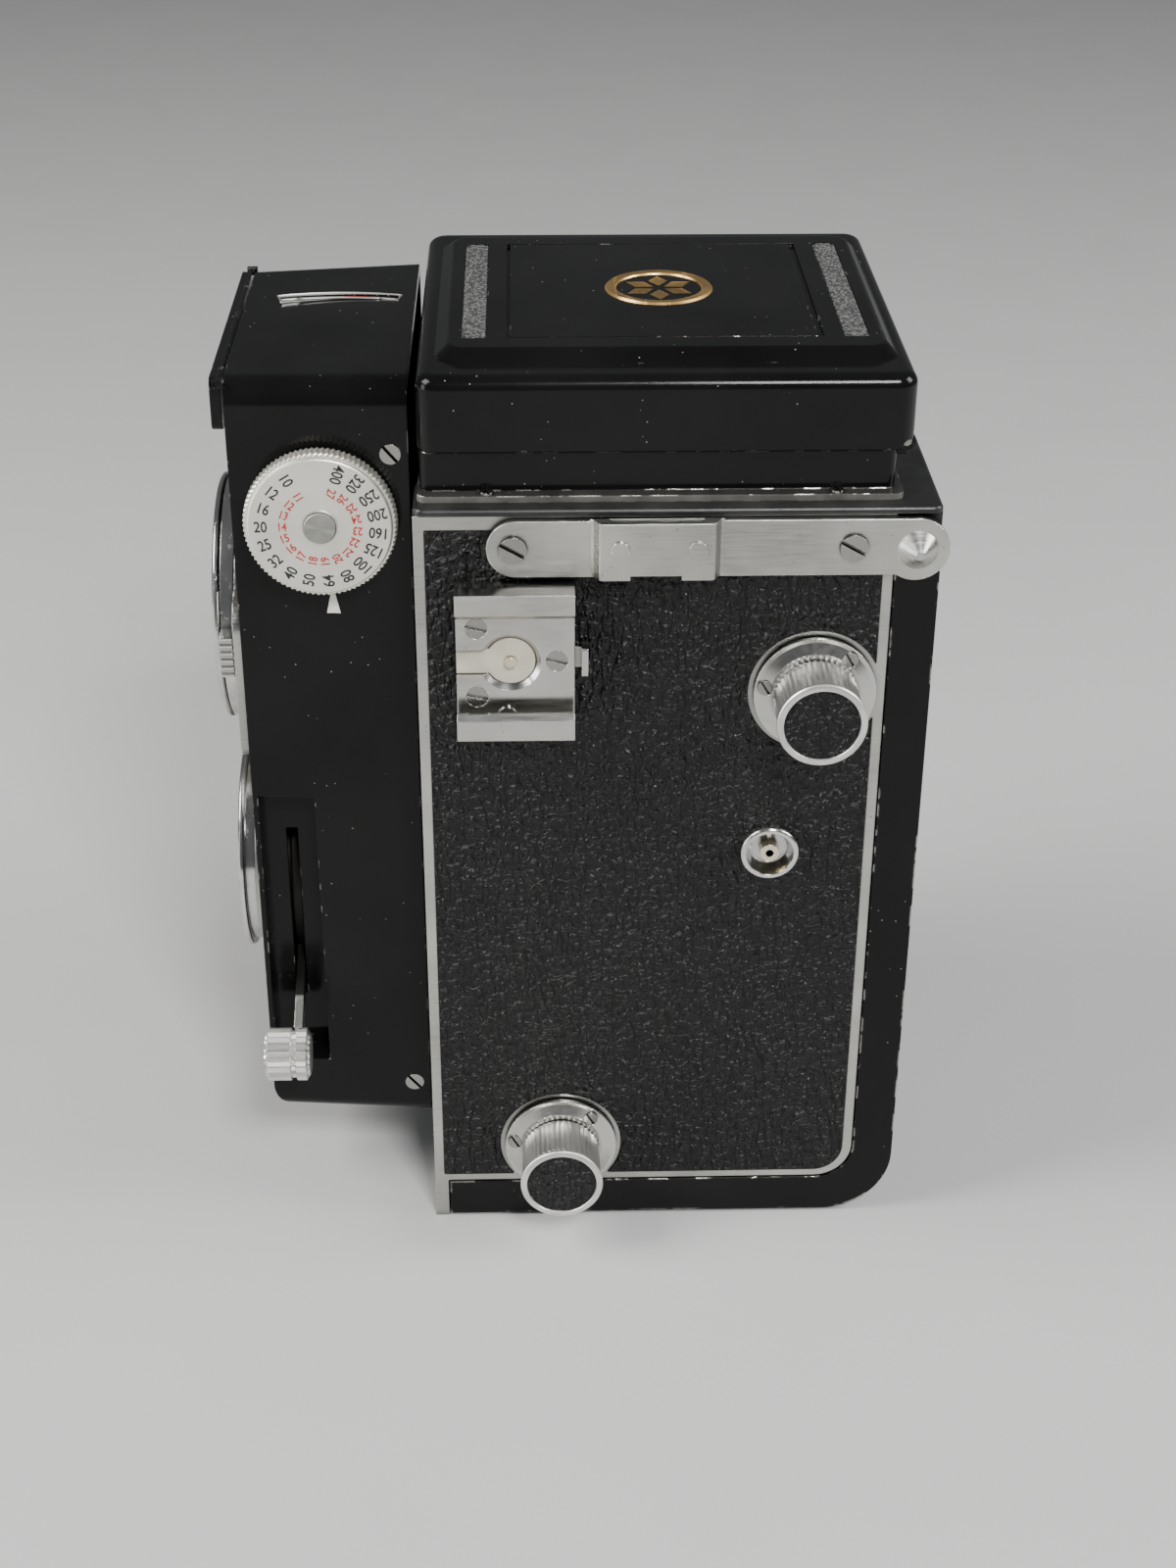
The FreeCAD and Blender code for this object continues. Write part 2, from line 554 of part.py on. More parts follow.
def hood_base():
    wall = rounded_block_z(-33.5, 33.5, -36.0, 30.6, TOP, 131.3, 1.5)
    flange = rounded_block_z(-35.5, 35.5, -36.4, 31.6, TOP, FLANGE_TOP, 1.5)
    base = join(wall, flange)
    base = base.cut(box(-30.05, 30.05, -30.55, 27.05, TOP - 1, TOP + 1.9))
    base = base.cut(box(-31.9, 31.9, -34.4, 29.0, TOP + 1.8, 140))
    for x0, x1 in BASE_KNUCKLES:
        base = join(base, cylinder_x(LID_HINGE[0], LID_HINGE[1], KNUCKLE_R, x0, x1),
                    box(x0, x1, 29.2, LID_HINGE[0], 130.0, 131.4))
    lugs = []
    for y0 in (-34.2, 28.9):
        lug = join(box(WING_HINGE_X - 0.9, WING_HINGE_X + 0.9, y0, y0 + 0.8, 131.0, WING_HINGE_Z),
                   cylinder_y(WING_HINGE_X, WING_HINGE_Z, 0.9, y0, y0 + 0.8),
                   box(WING_HINGE_X - 0.9, WING_HINGE_X + 0.9, y0, y0 + 0.8, 130.0, 131.1))
        lugs += [lug, mirror_x(lug)]
    y, z = PANEL_HINGE
    panel_lug = join(box(28.9, 29.9, y - 1.2, y + 0.8, 130.0, z), cylinder_x(y, z, 0.9, 28.9, 29.9))
    lugs += [panel_lug, mirror_x(panel_lug)]
    base = join(base, *lugs)
    base = base.cut(cylinder_x(LID_HINGE[0], LID_HINGE[1], PIN_R, -40, 40))
    for side in (-1, 1):
        base = base.cut(cylinder_y(side * WING_HINGE_X, WING_HINGE_Z, 0.5 + RUN, -34.3, 29.8))
    return base.cut(cylinder_x(y, z, 0.5 + RUN, -30, 30))


def lid_groove():
    """Groove round the lid's middle panel: hairlines at the sides, wider at the front and widest at the rear."""
    half, y0, y1 = 22.0, -23.7, 21.0
    front_width, rear_width, side_width = 0.5, 0.9, 0.22
    outer = box(-half, half, y0, y1, LID_TOP - 0.5, LID_TOP + 1)
    return outer.cut(box(-half + side_width, half - side_width, y0 + front_width, y1 - rear_width, 130, 150))


def plateau_wire(half, y0, y1, z, radius):
    """Rounded rectangle in a level plane."""
    level = rounded_block_z(-half, half, y0, y1, z, z + 1, radius)
    face = min(level.Faces, key=lambda f: f.CenterOfMass.z)
    return face.OuterWire


def hood_lid():
    cap = rounded_block_z(-LID_HALF, LID_HALF, LID_FRONT, LID_REAR, LID_LOW, LID_EDGE, 3.0)
    rim = [e for e in cap.Edges if abs(e.CenterOfMass.z - LID_EDGE) < 0.01]
    cap = cap.makeFillet(1.9, rim)
    plateau = Part.makeLoft([plateau_wire(28.6, -34.0, 31.2, LID_EDGE - 0.2, 3.5),
                             plateau_wire(26.0, -31.8, 29.4, LID_TOP, 2.5)], True)
    rim = [e for e in plateau.Edges if abs(e.CenterOfMass.z - LID_TOP) < 0.01]
    plateau = plateau.makeFillet(0.9, rim)
    lid = join(cap, plateau)
    lid = lid.cut(box(-32.6, 32.6, -35.1, 31.5, 120, 140.9))
    lid = lid.cut(lid_groove())
    for y0 in (-30.1, 23.8):
        lid = lid.cut(rounded_block_z(-22.0, 22.0, y0, y0 + 3.6, LID_TOP - 0.4, LID_TOP + 1, 0.6))
    for x0, x1 in BASE_KNUCKLES:
        lid = lid.cut(box(x0 - 0.3, x1 + 0.3, 29, 40, 120, 133.5))
    for x0, x1 in LID_KNUCKLES:
        lid = join(lid, cylinder_x(LID_HINGE[0], LID_HINGE[1], KNUCKLE_R, x0, x1))
    y, z = MAGNIFIER_PIVOT
    ear = join(box(23.4, 25.4, y - 1.6, y + 1.6, z, 141.2), cylinder_x(y, z, 1.6, 23.4, 25.4))
    lid = join(lid, ear, mirror_x(ear)).cut(cylinder_x(y, z, 0.8 + RUN, -26, 26))
    return lid.cut(cylinder_x(LID_HINGE[0], LID_HINGE[1], PIN_R + RUN, -40, 40))


def hood_wing():
    near, far = -32.9, 28.6
    reach = WING_HINGE_X
    rear_gap = LID_HINGE[0] - far
    front_gap = near - PANEL_HINGE[0]
    tip = reach - WING_HEIGHT
    points = [(reach, near), (reach, far),
              (reach - rear_gap + 1.5, far),
              (tip, LID_HINGE[0] - WING_HEIGHT - 1.5),
              (tip, PANEL_HINGE[0] + WING_HEIGHT + 1.0),
              (reach - front_gap + 0.4, near)]
    leaf = prism_z(points, WING_HINGE_Z - LEAF / 2, WING_HINGE_Z + LEAF / 2)
    return join(leaf, cylinder_y(reach, WING_HINGE_Z, 0.5, -34.1, 29.6))


def hood_front_panel():
    y, z = PANEL_HINGE
    leaf = box(-28.4, 28.4, y, y + PANEL_HEIGHT, z - LEAF / 2, z + LEAF / 2)
    return join(leaf, cylinder_x(y, z, 0.5, -29.8, 29.8))


LENS_CENTRE_Y = MAGNIFIER_PIVOT[0] - 16.8
LENS_R = 14.0


def dome_lens(radius, half_thickness):
    """Lens about the Z axis, bulging both ways from the origin."""
    sphere_r = (radius ** 2 + half_thickness ** 2) / (2 * half_thickness)
    top = Part.makeSphere(sphere_r, V(0, 0, half_thickness - sphere_r))
    low = Part.makeSphere(sphere_r, V(0, 0, sphere_r - half_thickness))
    return top.common(low).common(cylinder_z(0, 0, radius - 0.02, -9, 9))


def magnifier_frame():
    y, z = MAGNIFIER_PIVOT
    plate = rounded_block_z(-22.8, 22.8, y - 33.4, y + 0.6, z - 0.7, z + 0.7, 0.5)
    window = cylinder_z(0, LENS_CENTRE_Y, LENS_R, z - 5, z + 5)
    rim = cylinder_z(0, LENS_CENTRE_Y, LENS_R + 1.6, z - 1.3, z + 1.3)
    pins = cylinder_x(y, z, 0.8, -25.2, 25.2)
    return join(plate, rim, pins).cut(window)


parts["hood_base"] = hood_base()
parts["hood_lid"] = hood_lid()
parts["hood_left_wing"] = hood_wing()
parts["hood_right_wing"] = mirror_x(hood_wing())
parts["hood_front_panel"] = hood_front_panel()
parts["magnifier_frame"] = magnifier_frame()
parts["magnifier_lens"] = moved(dome_lens(LENS_R, 2.0), 0, LENS_CENTRE_Y, MAGNIFIER_PIVOT[1])
parts["hinge_pins"] = Part.makeCompound([
    cylinder_x(HINGE[0], HINGE[1], 1.5, -WALL_OUT, WALL_OUT),
    cylinder_x(LID_HINGE[0], LID_HINGE[1], PIN_R, -31.8, 31.8)])

# ---------------------------------------------------------------- front standard
RECESS_Y = (-62.5, -53.8)
RECESS_Z = (24.0, 73.0)
RECESS_FLOOR = 22.6
LEVER_R = 39.7
LEVER_Y = (-58.75, -57.45)
LEVER_REST = -28.2       # degrees below level, on the left side
DIAL = (-50.3, 119.5)
DIAL_R = 10.95
FLAP_HINGE = (-64.1, 138.7)
BUTTON = (-18.5, 23.0)
SYNC_LEVER = (-13.5, 78.0)


def front_housing():
    outer = Part.makeLoft([
        frame_wire(HOUSING_HALF_REAR, HOUSING_LOW, HOUSING_TOP, HOUSING_REAR, 3.6, 2.5),
        frame_wire(HOUSING_HALF_FRONT, HOUSING_LOW + 0.3, HOUSING_TOP - 0.6, FACE, 3.6, 2.5)], True)
    nose = box(-40, 40, FACE - 1, FACE + 4.5, HOUSING_LOW - 2, HOUSING_LOW + 4.8)
    nose = nose.cut(cylinder_x(FACE + 4.5, HOUSING_LOW + 4.8, 4.5, -40, 40))
    outer = outer.cut(nose)
    inner = Part.makeLoft([
        frame_wire(HOUSING_HALF_REAR - 1.6, HOUSING_LOW + 1.6, HOUSING_TOP - 1.6, HOUSING_REAR + 1, 2.2, 1.5),
        frame_wire(HOUSING_HALF_FRONT - 1.6, HOUSING_LOW + 3.4, HOUSING_TOP - 2.2, FACE + 1.6, 2.2, 1.5)], True)
    housing = outer.cut(inner)
    pocket_wall = box(RECESS_FLOOR - 1.2, 26.0, RECESS_Y[0] + 0.4, RECESS_Y[1] + 1.2,
                      RECESS_Z[0] - 1.2, RECESS_Z[1] + 1.2)
    pocket = box(RECESS_FLOOR, 40, RECESS_Y[0], RECESS_Y[1], RECESS_Z[0], RECESS_Z[1])
    slot = box(RECESS_FLOOR - 2, RECESS_FLOOR + 1, LEVER_Y[0] - 0.25, LEVER_Y[1] + 0.25, TAKE_Z - 15.5, TAKE_Z + 15.5)
    dial_boss = cylinder_x(DIAL[0], DIAL[1], 8.5, 25.5, 28.35)
    housing = join(housing, pocket_wall, mirror_x(pocket_wall), dial_boss)
    for cut in (pocket, mirror_x(pocket), slot, mirror_x(slot)):
        housing = housing.cut(cut)
    housing = housing.cut(cylinder_x(DIAL[0], DIAL[1], 2.0 + RUN, 20, 40))
    for z in (VIEW_Z, TAKE_Z):
        housing = housing.cut(cylinder_y(0, z, 16.0, FACE - 1, FACE + 5))
    housing = housing.cut(box(-20.8, 20.8, FACE - 1, FACE + 5, 132.4, 137.6))
    housing = housing.cut(window_slit(HOUSING_TOP - 4, HOUSING_TOP + 1))
    button_boss = cylinder_y(BUTTON[0], BUTTON[1], 5.0, FACE + 0.2, FACE + 7)
    housing = join(housing, button_boss).cut(cylinder_y(BUTTON[0], BUTTON[1], 3.4 + RUN, FACE - 1, FACE + 20))
    lug = box(25.3, 26.2, FLAP_HINGE[0] - 0.6, FACE + 0.2, FLAP_HINGE[1] - 0.7, FLAP_HINGE[1] + 0.5)
    housing = join(housing, lug, mirror_x(lug))
    housing = housing.cut(cylinder_x(FLAP_HINGE[0], FLAP_HINGE[1], 0.35 + RUN, -27, 27))
    for y, z in HOUSING_SCREWS:
        for side in (-1, 1):
            housing = housing.cut(cylinder_x(y, z, 1.5, *sorted((side * 27.0, side * 30.0))))
    return housing


SLIT_CENTRE = (21.8, -49.1)
SLIT_R = 31.8


def window_slit(z0, z1):
    """Curved slit over the meter needle's tip, about the needle's pivot."""
    x, y = SLIT_CENTRE
    ring = cylinder_z(x, y, SLIT_R + 1.1, z0, z1).cut(cylinder_z(x, y, SLIT_R - 1.1, z0 - 1, z1 + 1))
    return ring.common(box(-12, 0, y - 9.0, y + 9.0, z0, z1))


HOUSING_SCREWS = [(-40.2, 129.0), (-40.2, 20.0)]
parts["front_housing"] = front_housing()
parts["meter_window"] = window_slit(HOUSING_TOP - 2.6, HOUSING_TOP - 0.55)
housing_screws = []
for y, z in HOUSING_SCREWS:
    housing_screw = slotted_head(27.0, y, z, X_AXIS, 1.5, 1.3, 40)
    housing_screws += [housing_screw, mirror_x(housing_screw)]
parts["housing_screws"] = Part.makeCompound(housing_screws)


def standard_sleeve():
    tube = box(-24.0, 24.0, -37.55, -27.0, 31.0, 117.0).cut(box(-22.8, 22.8, -40, -20, 32.2, 115.8))
    collar = box(-25.4, 25.4, -37.55, -37.0, 29.5, 118.5).cut(box(-22.8, 22.8, -40, -20, 32.2, 115.8))
    bridge = box(-26.4, 26.4, -38.6, -37.5, 29.5, 118.5).cut(box(-22.8, 22.8, -40, -20, 32.2, 115.8))
    return join(tube, collar, bridge)


parts["standard_sleeve"] = standard_sleeve()

# satin plate that joins the two lens mounts, widest between them
plate = join(rounded_block_y(22.5, 76.0, 103.0, PLATE_FRONT, FACE, 5.0),
             cylinder_y(0, VIEW_Z, 19.0, PLATE_FRONT, FACE), cylinder_y(0, TAKE_Z, 17.2, PLATE_FRONT, FACE),
             box(-12.5, 12.5, PLATE_FRONT, FACE, TAKE_Z, VIEW_Z))
for z in (VIEW_Z, TAKE_Z):
    plate = plate.cut(cylinder_y(0, z, 16.0, -70, -60))
parts["front_plate"] = plate.cut(cylinder_y(SYNC_LEVER[0], SYNC_LEVER[1], 0.8 + RUN, -70, -60))


def lens_bezel(z, flange_r, barrel_r, tube_r, bore_r, front, flange):
    shape = join(cylinder_y(0, z, flange_r, front, front + flange),
                 cylinder_y(0, z, barrel_r, front + flange, PLATE_FRONT),
                 cylinder_y(0, z, tube_r, PLATE_FRONT - 0.1, -50.0))
    return shape.cut(cylinder_y(0, z, bore_r, -80, -40)).cut(
        Part.makeCone(bore_r + 1.6, bore_r, 2.2, V(0, front - 0.01, z), Y_AXIS))


def lens_glass(z, radius, front):
    dome = turned(dome_lens(radius, 2.4), V(0, 0, 0), X_AXIS, 90)
    return moved(dome, 0, front, z)


parts["viewing_lens_bezel"] = lens_bezel(VIEW_Z, 19.2, 17.4, 16.0, 14.4, -68.3, 1.0)
parts["taking_lens_bezel"] = lens_bezel(TAKE_Z, 17.5, 16.4, 14.5, 12.6, -67.7, 1.0)
parts["viewing_lens_glass"] = lens_glass(VIEW_Z, 14.4, -62.6)
parts["taking_lens_glass"] = lens_glass(TAKE_Z, 12.6, -62.6)
parts["shutter_housing"] = tube_y(0, TAKE_Z, 18.0, 14.5, FACE + 1.6, -50.0)

ring = tube_y(0, VIEW_Z, 19.0, 17.4 + RUN, -67.15, -65.1)
tab = box(18.2, 22.6, -67.15, -65.1, VIEW_Z - 3.2, VIEW_Z + 3.2)
for step in range(-2, 3):
    tab = tab.cut(cylinder_y(22.75, VIEW_Z + step * 1.2, 0.42, -70, -60))
parts["exposure_ring"] = join(ring, tab).cut(cylinder_y(0, VIEW_Z, 17.4 + RUN, -70, -60))


def sync_lever():
    x, z = SYNC_LEVER
    arm = prism_lever(x, z, -20.3, 88.2, 1.3, -66.6, -65.1)
    knob = cylinder_y(-20.3, 88.2, 1.7, -68.0, -66.5)
    return join(arm, knob, cylinder_y(x, z, 0.8, -65.2, FACE))


def prism_lever(x0, z0, x1, z1, half, y0, y1):
    """Flat bar with round ends between two points, lying against the front plate."""
    length = math.hypot(x1 - x0, z1 - z0)
    bar = join(box(0, length, y0, y1, -half, half), cylinder_y(0, 0, half, y0, y1),
               cylinder_y(length, 0, half, y0, y1))
    bar = turned(bar, V(0, 0, 0), Y_AXIS, -math.degrees(math.atan2(z1 - z0, x1 - x0)))
    return moved(bar, x0, 0, z0)


parts["sync_lever"] = sync_lever()
parts["shutter_button"] = cylinder_y(BUTTON[0], BUTTON[1], 3.4, FACE - 3.4, FACE + 5.0)
parts["meter_cell"] = box(-20.7, 20.7, FACE + 0.05, FACE + 1.5, 132.5, 137.5)


def meter_flap():
    flap = rounded_block_y(25.0, 131.3, 139.0, -65.3, FLAP_HINGE[0] + 0.35, 1.2)
    return join(flap, cylinder_x(FLAP_HINGE[0], FLAP_HINGE[1], 0.35, -26.1, 26.1))


parts["meter_flap"] = meter_flap()


def asa_dial():
    y, z = DIAL
    rim = cylinder_x(y, z, DIAL_R, 28.45, 31.4)
    face = cylinder_x(y, z, DIAL_R - 0.7, 31.3, 31.9)
    hub = cylinder_x(y, z, 2.3, 31.8, 32.4)
    return join(rim, face, hub, cylinder_x(y, z, 2.0, 26.0, 28.5))


parts["asa_dial"] = asa_dial()


def focus_lever():
    ring = tube_y(0, TAKE_Z, 20.8, 18.0 + RUN, *LEVER_Y)
    arm = box(19.5, LEVER_R, *LEVER_Y, TAKE_Z - 1.4, TAKE_Z + 1.4)
    axle = V(0, 0, TAKE_Z)
    low_arm = turned(arm, axle, Y_AXIS, -LEVER_REST)
    high_arm = turned(low_arm, axle, Y_AXIS, 180)
    return join(ring, low_arm, high_arm)


def grip_place():
    angle = math.radians(LEVER_REST)
    return LEVER_R * math.cos(angle), LEVER_R * math.sin(angle)


grip_x, grip_z = grip_place()
grips = []
for side in (-1, 1):
    grip = cylinder_y(side * grip_x, TAKE_Z + side * grip_z, 4.2, -63.1, -56.0)
    grips.append(grip)
parts["focus_lever"] = focus_lever()
for grip in grips:
    parts["focus_lever"] = parts["focus_lever"].cut(grip)
parts["focus_grips"] = Part.makeCompound(grips)

# ---------------------------------------------------------------- files
os.makedirs("parts", exist_ok=True)
for name, shape in parts.items():
    shape.exportStep("parts/" + name + ".step")
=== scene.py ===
import bmesh
import bpy
import math
from mathutils import Matrix, Vector


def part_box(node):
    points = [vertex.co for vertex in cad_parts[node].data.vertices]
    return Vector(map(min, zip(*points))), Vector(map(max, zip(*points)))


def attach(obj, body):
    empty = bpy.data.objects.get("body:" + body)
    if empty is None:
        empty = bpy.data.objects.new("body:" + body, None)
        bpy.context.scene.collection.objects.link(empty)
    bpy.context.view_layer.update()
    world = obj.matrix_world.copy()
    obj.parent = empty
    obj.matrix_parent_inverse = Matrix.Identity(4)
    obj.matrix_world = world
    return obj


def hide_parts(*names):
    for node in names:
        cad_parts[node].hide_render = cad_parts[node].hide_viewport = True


# Looks of the twin lens reflex camera. Lengths are in metres; MM turns millimetres into metres.
# +X is the side with the film knobs, -Y is the front with the lenses, +Z is up.

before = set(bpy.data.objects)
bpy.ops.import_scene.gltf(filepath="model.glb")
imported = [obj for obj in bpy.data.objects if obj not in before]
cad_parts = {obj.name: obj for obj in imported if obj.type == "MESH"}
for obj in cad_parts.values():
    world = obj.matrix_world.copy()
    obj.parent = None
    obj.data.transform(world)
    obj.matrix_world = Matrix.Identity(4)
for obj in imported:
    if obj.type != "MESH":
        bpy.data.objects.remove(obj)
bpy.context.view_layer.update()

MM = 0.001
X_AXIS = Vector((1, 0, 0))
Y_AXIS = Vector((0, 1, 0))
Z_AXIS = Vector((0, 0, 1))


# ---------------------------------------------------------------- camera, lights and floor
CAMERA_PLACE = Vector((342.7, -21.4, 254.1)) * MM
CAMERA_YAW = math.radians(-1.68)
CAMERA_PITCH = math.radians(29.59)
CAMERA_ROLL = math.radians(0.25)
LENS_MM = 54.7
SENSOR_MM = 36.0


def make_camera():
    camera = bpy.data.objects.new("camera", bpy.data.cameras.new("camera"))
    bpy.context.scene.collection.objects.link(camera)
    forward = Vector((-math.cos(CAMERA_PITCH) * math.cos(CAMERA_YAW),
                      -math.cos(CAMERA_PITCH) * math.sin(CAMERA_YAW),
                      -math.sin(CAMERA_PITCH)))
    right = forward.cross(Z_AXIS).normalized()
    up = right.cross(forward)
    turn = Matrix.Rotation(-CAMERA_ROLL, 3, forward)
    axes = Matrix((turn @ right, turn @ up, turn @ -forward)).transposed()
    camera.matrix_world = Matrix.Translation(CAMERA_PLACE) @ axes.to_4x4()
    camera.data.lens = LENS_MM
    camera.data.sensor_width = SENSOR_MM
    camera.data.clip_start = 0.01
    bpy.context.scene.camera = camera


def area_light(name, place, target, width, height, power, tint):
    light = bpy.data.lights.new(name, "AREA")
    light.shape = "RECTANGLE"
    light.size = width
    light.size_y = height
    light.energy = power
    light.color = tint
    lamp = bpy.data.objects.new(name, light)
    lamp.location = place
    lamp.rotation_euler = (Vector(target) - Vector(place)).to_track_quat("-Z", "Y").to_euler()
    bpy.context.scene.collection.objects.link(lamp)


def make_studio():
    centre = (0.0, 0.0, 0.07)
    area_light("front_softbox", (0.12, -0.62, 0.66), centre, 0.42, 0.42, 8.0, (1.0, 0.98, 0.95))
    area_light("rear_softbox", (0.10, 0.72, 0.55), centre, 0.35, 0.40, 6.0, (1.0, 1.0, 1.0))
    area_light("low_front_softbox", (0.25, -0.85, 0.20), centre, 0.30, 0.40, 2.5, (0.97, 0.99, 1.0))
    area_light("side_softbox", (0.80, 0.20, 0.86), centre, 0.24, 0.24, 11.0, (1.0, 1.0, 1.0))
    world = bpy.data.worlds.new("studio")
    bpy.context.scene.world = world
    world.use_nodes = True
    background = world.node_tree.nodes["Background"]
    background.inputs["Color"].default_value = (0.80, 0.82, 0.85, 1)
    background.inputs["Strength"].default_value = 0.17


# ---------------------------------------------------------------- material tools
class Recipe:
    """A material's node tree, built by short calls."""

    def __init__(self, name, colour, metallic, roughness):
        self.material = bpy.data.materials.new(name)
        self.material.use_nodes = True
        self.tree = self.material.node_tree
        self.shader = self.tree.nodes["Principled BSDF"]
        self.set("Base Color", (*colour, 1))
        self.set("Metallic", metallic)
        self.set("Roughness", roughness)
        self.place = self.add("ShaderNodeTexCoord").outputs["Object"]

    def add(self, kind, **settings):
        node = self.tree.nodes.new(kind)
        for key, value in settings.items():
            setattr(node, key, value)
        return node

    def set(self, socket, value):
        self.shader.inputs[socket].default_value = value

    def link(self, source, target):
        self.tree.links.new(source, target)

    def into(self, socket, source):
        self.link(source, self.shader.inputs[socket])

    def stretched(self, x, y, z):
        """The place on the object with each axis scaled."""
        node = self.add("ShaderNodeMapping")
        node.inputs["Scale"].default_value = (x, y, z)
        self.link(self.place, node.inputs["Vector"])
        return node.outputs["Vector"]

    def noise(self, per_metre, detail=4.0, place=None, roughness=0.5):
        node = self.add("ShaderNodeTexNoise")
        node.inputs["Scale"].default_value = per_metre
        node.inputs["Detail"].default_value = detail
        node.inputs["Roughness"].default_value = roughness
        self.link(place or self.place, node.inputs["Vector"])
        return node.outputs["Fac"]

    def cells(self, per_metre, place=None, feature="F1"):
        node = self.add("ShaderNodeTexVoronoi", feature=feature)
        node.inputs["Scale"].default_value = per_metre
        self.link(place or self.place, node.inputs["Vector"])
        return node.outputs["Distance"]

    def remap(self, value, low, high, to_low, to_high):
        node = self.add("ShaderNodeMapRange")
        self.link(value, node.inputs["Value"])
        limits = {"From Min": low, "From Max": high, "To Min": to_low, "To Max": to_high}
        for socket, number in limits.items():
            node.inputs[socket].default_value = number
        return node.outputs["Result"]

    def math(self, operation, first, second):
        node = self.add("ShaderNodeMath", operation=operation)
        for index, value in enumerate((first, second)):
            if isinstance(value, (int, float)):
                node.inputs[index].default_value = value
            else:
                self.link(value, node.inputs[index])
        return node.outputs["Value"]

    def mix(self, factor, first, second):
        """Colour mixed from first to second; each is a colour or a socket."""
        node = self.add("ShaderNodeMix", data_type="RGBA")
        self.link(factor, node.inputs["Factor"])
        for socket, value in ((node.inputs[6], first), (node.inputs[7], second)):
            if isinstance(value, tuple):
                socket.default_value = (*value, 1)
            else:
                self.link(value, socket)
        return node.outputs[2]

    def soft_edges(self, radius):
        """Normals as if every edge had this radius."""
        node = self.add("ShaderNodeBevel", samples=4)
        node.inputs["Radius"].default_value = radius
        return node.outputs["Normal"]

    def edge_mask(self, radius):
        """Near 1 on convex and concave edges, 0 on flats."""
        true_normal = self.add("ShaderNodeNewGeometry").outputs["True Normal"]
        dot = self.add("ShaderNodeVectorMath", operation="DOT_PRODUCT")
        self.link(self.soft_edges(radius), dot.inputs[0])
        self.link(true_normal, dot.inputs[1])
        return self.remap(dot.outputs["Value"], 0.985, 0.80, 0.0, 1.0)

    def crevice(self, distance):
        """Painted shade with some grime: 1 deep in corners and hollows narrower than the distance, 0 in the
        open.
        """
        node = self.add("ShaderNodeAmbientOcclusion", samples=6)
        node.inputs["Distance"].default_value = distance
        return self.remap(node.outputs["AO"], 0.25, 0.80, 1.0, 0.0)

    def bump(self, height, distance, strength=1.0, normal=None):
        node = self.add("ShaderNodeBump")
        node.inputs["Strength"].default_value = strength
        node.inputs["Distance"].default_value = distance
        self.link(height, node.inputs["Height"])
        if normal:
            self.link(normal, node.inputs["Normal"])
        return node.outputs["Normal"]

    def along(self, axis):
        """The place on the object along X, Y or Z, in metres."""
        node = self.add("ShaderNodeSeparateXYZ")
        self.link(self.place, node.inputs["Vector"])
        return node.outputs[axis]

    def ridges(self, per_metre, place, width):
        """1 on plump ground and 0 in the thin creases between it."""
        away = self.math("SUBTRACT", self.noise(per_metre, 2.0, place, 0.4), 0.5)
        return self.remap(self.math("ABSOLUTE", away, 0.0), 0.0, width, 0.0, 1.0)


EDGE = 0.25 * MM
RED_MARK = 46.5 * MM     # how far in front of the middle the meter's red mark lies


def enamel(name, chips, reach=0.35 * MM, worn_below=None):
    """Gloss black stove enamel with fine dust, faint smears and edges rubbed to bare metal."""
    r = Recipe(name, (0.004, 0.004, 0.004), 0.0, 0.10)
    smear = r.noise(42, 5.0)
    dust = r.remap(r.cells(620), 0.05, 0.08, 1.0, 0.0)
    patchy = r.remap(r.noise(120, 2.0), 0.50, 0.60, 0.0, 1.0)
    dust = r.math("MULTIPLY", dust, patchy)
    flakes = r.remap(r.noise(330, 6.0), chips, chips + 0.05, 0.0, 1.0)
    rub = r.math("MULTIPLY", r.edge_mask(reach), flakes)
    colour = r.mix(r.remap(smear, 0.35, 0.75, 0.0, 1.0), (0.003, 0.003, 0.003), (0.007, 0.007, 0.007))
    colour = r.mix(dust, colour, (0.22, 0.215, 0.20))
    if worn_below:
        flange = r.remap(r.along("Z"), worn_below, worn_below - 0.1 * MM, 0.0, 1.0)
        grime = r.mix(r.noise(260, 8.0), (0.02, 0.02, 0.02), (0.20, 0.195, 0.18))
        colour = r.mix(flange, colour, grime)
    colour = r.mix(rub, colour, (0.62, 0.60, 0.56))
    r.into("Base Color", colour)
    r.into("Metallic", rub)
    rough = r.remap(smear, 0.3, 0.8, 0.07, 0.20)
    if worn_below:
        rough = r.math("MAXIMUM", rough, r.math("MULTIPLY", flange, 0.5))
    r.into("Roughness", r.math("MAXIMUM", rough, r.math("MULTIPLY", dust, 0.6)))
    r.set("Specular IOR Level", 0.18)
    r.into("Normal", r.bump(r.noise(900, 3.0), 0.006 * MM, 0.35, r.soft_edges(EDGE)))
    return r.material


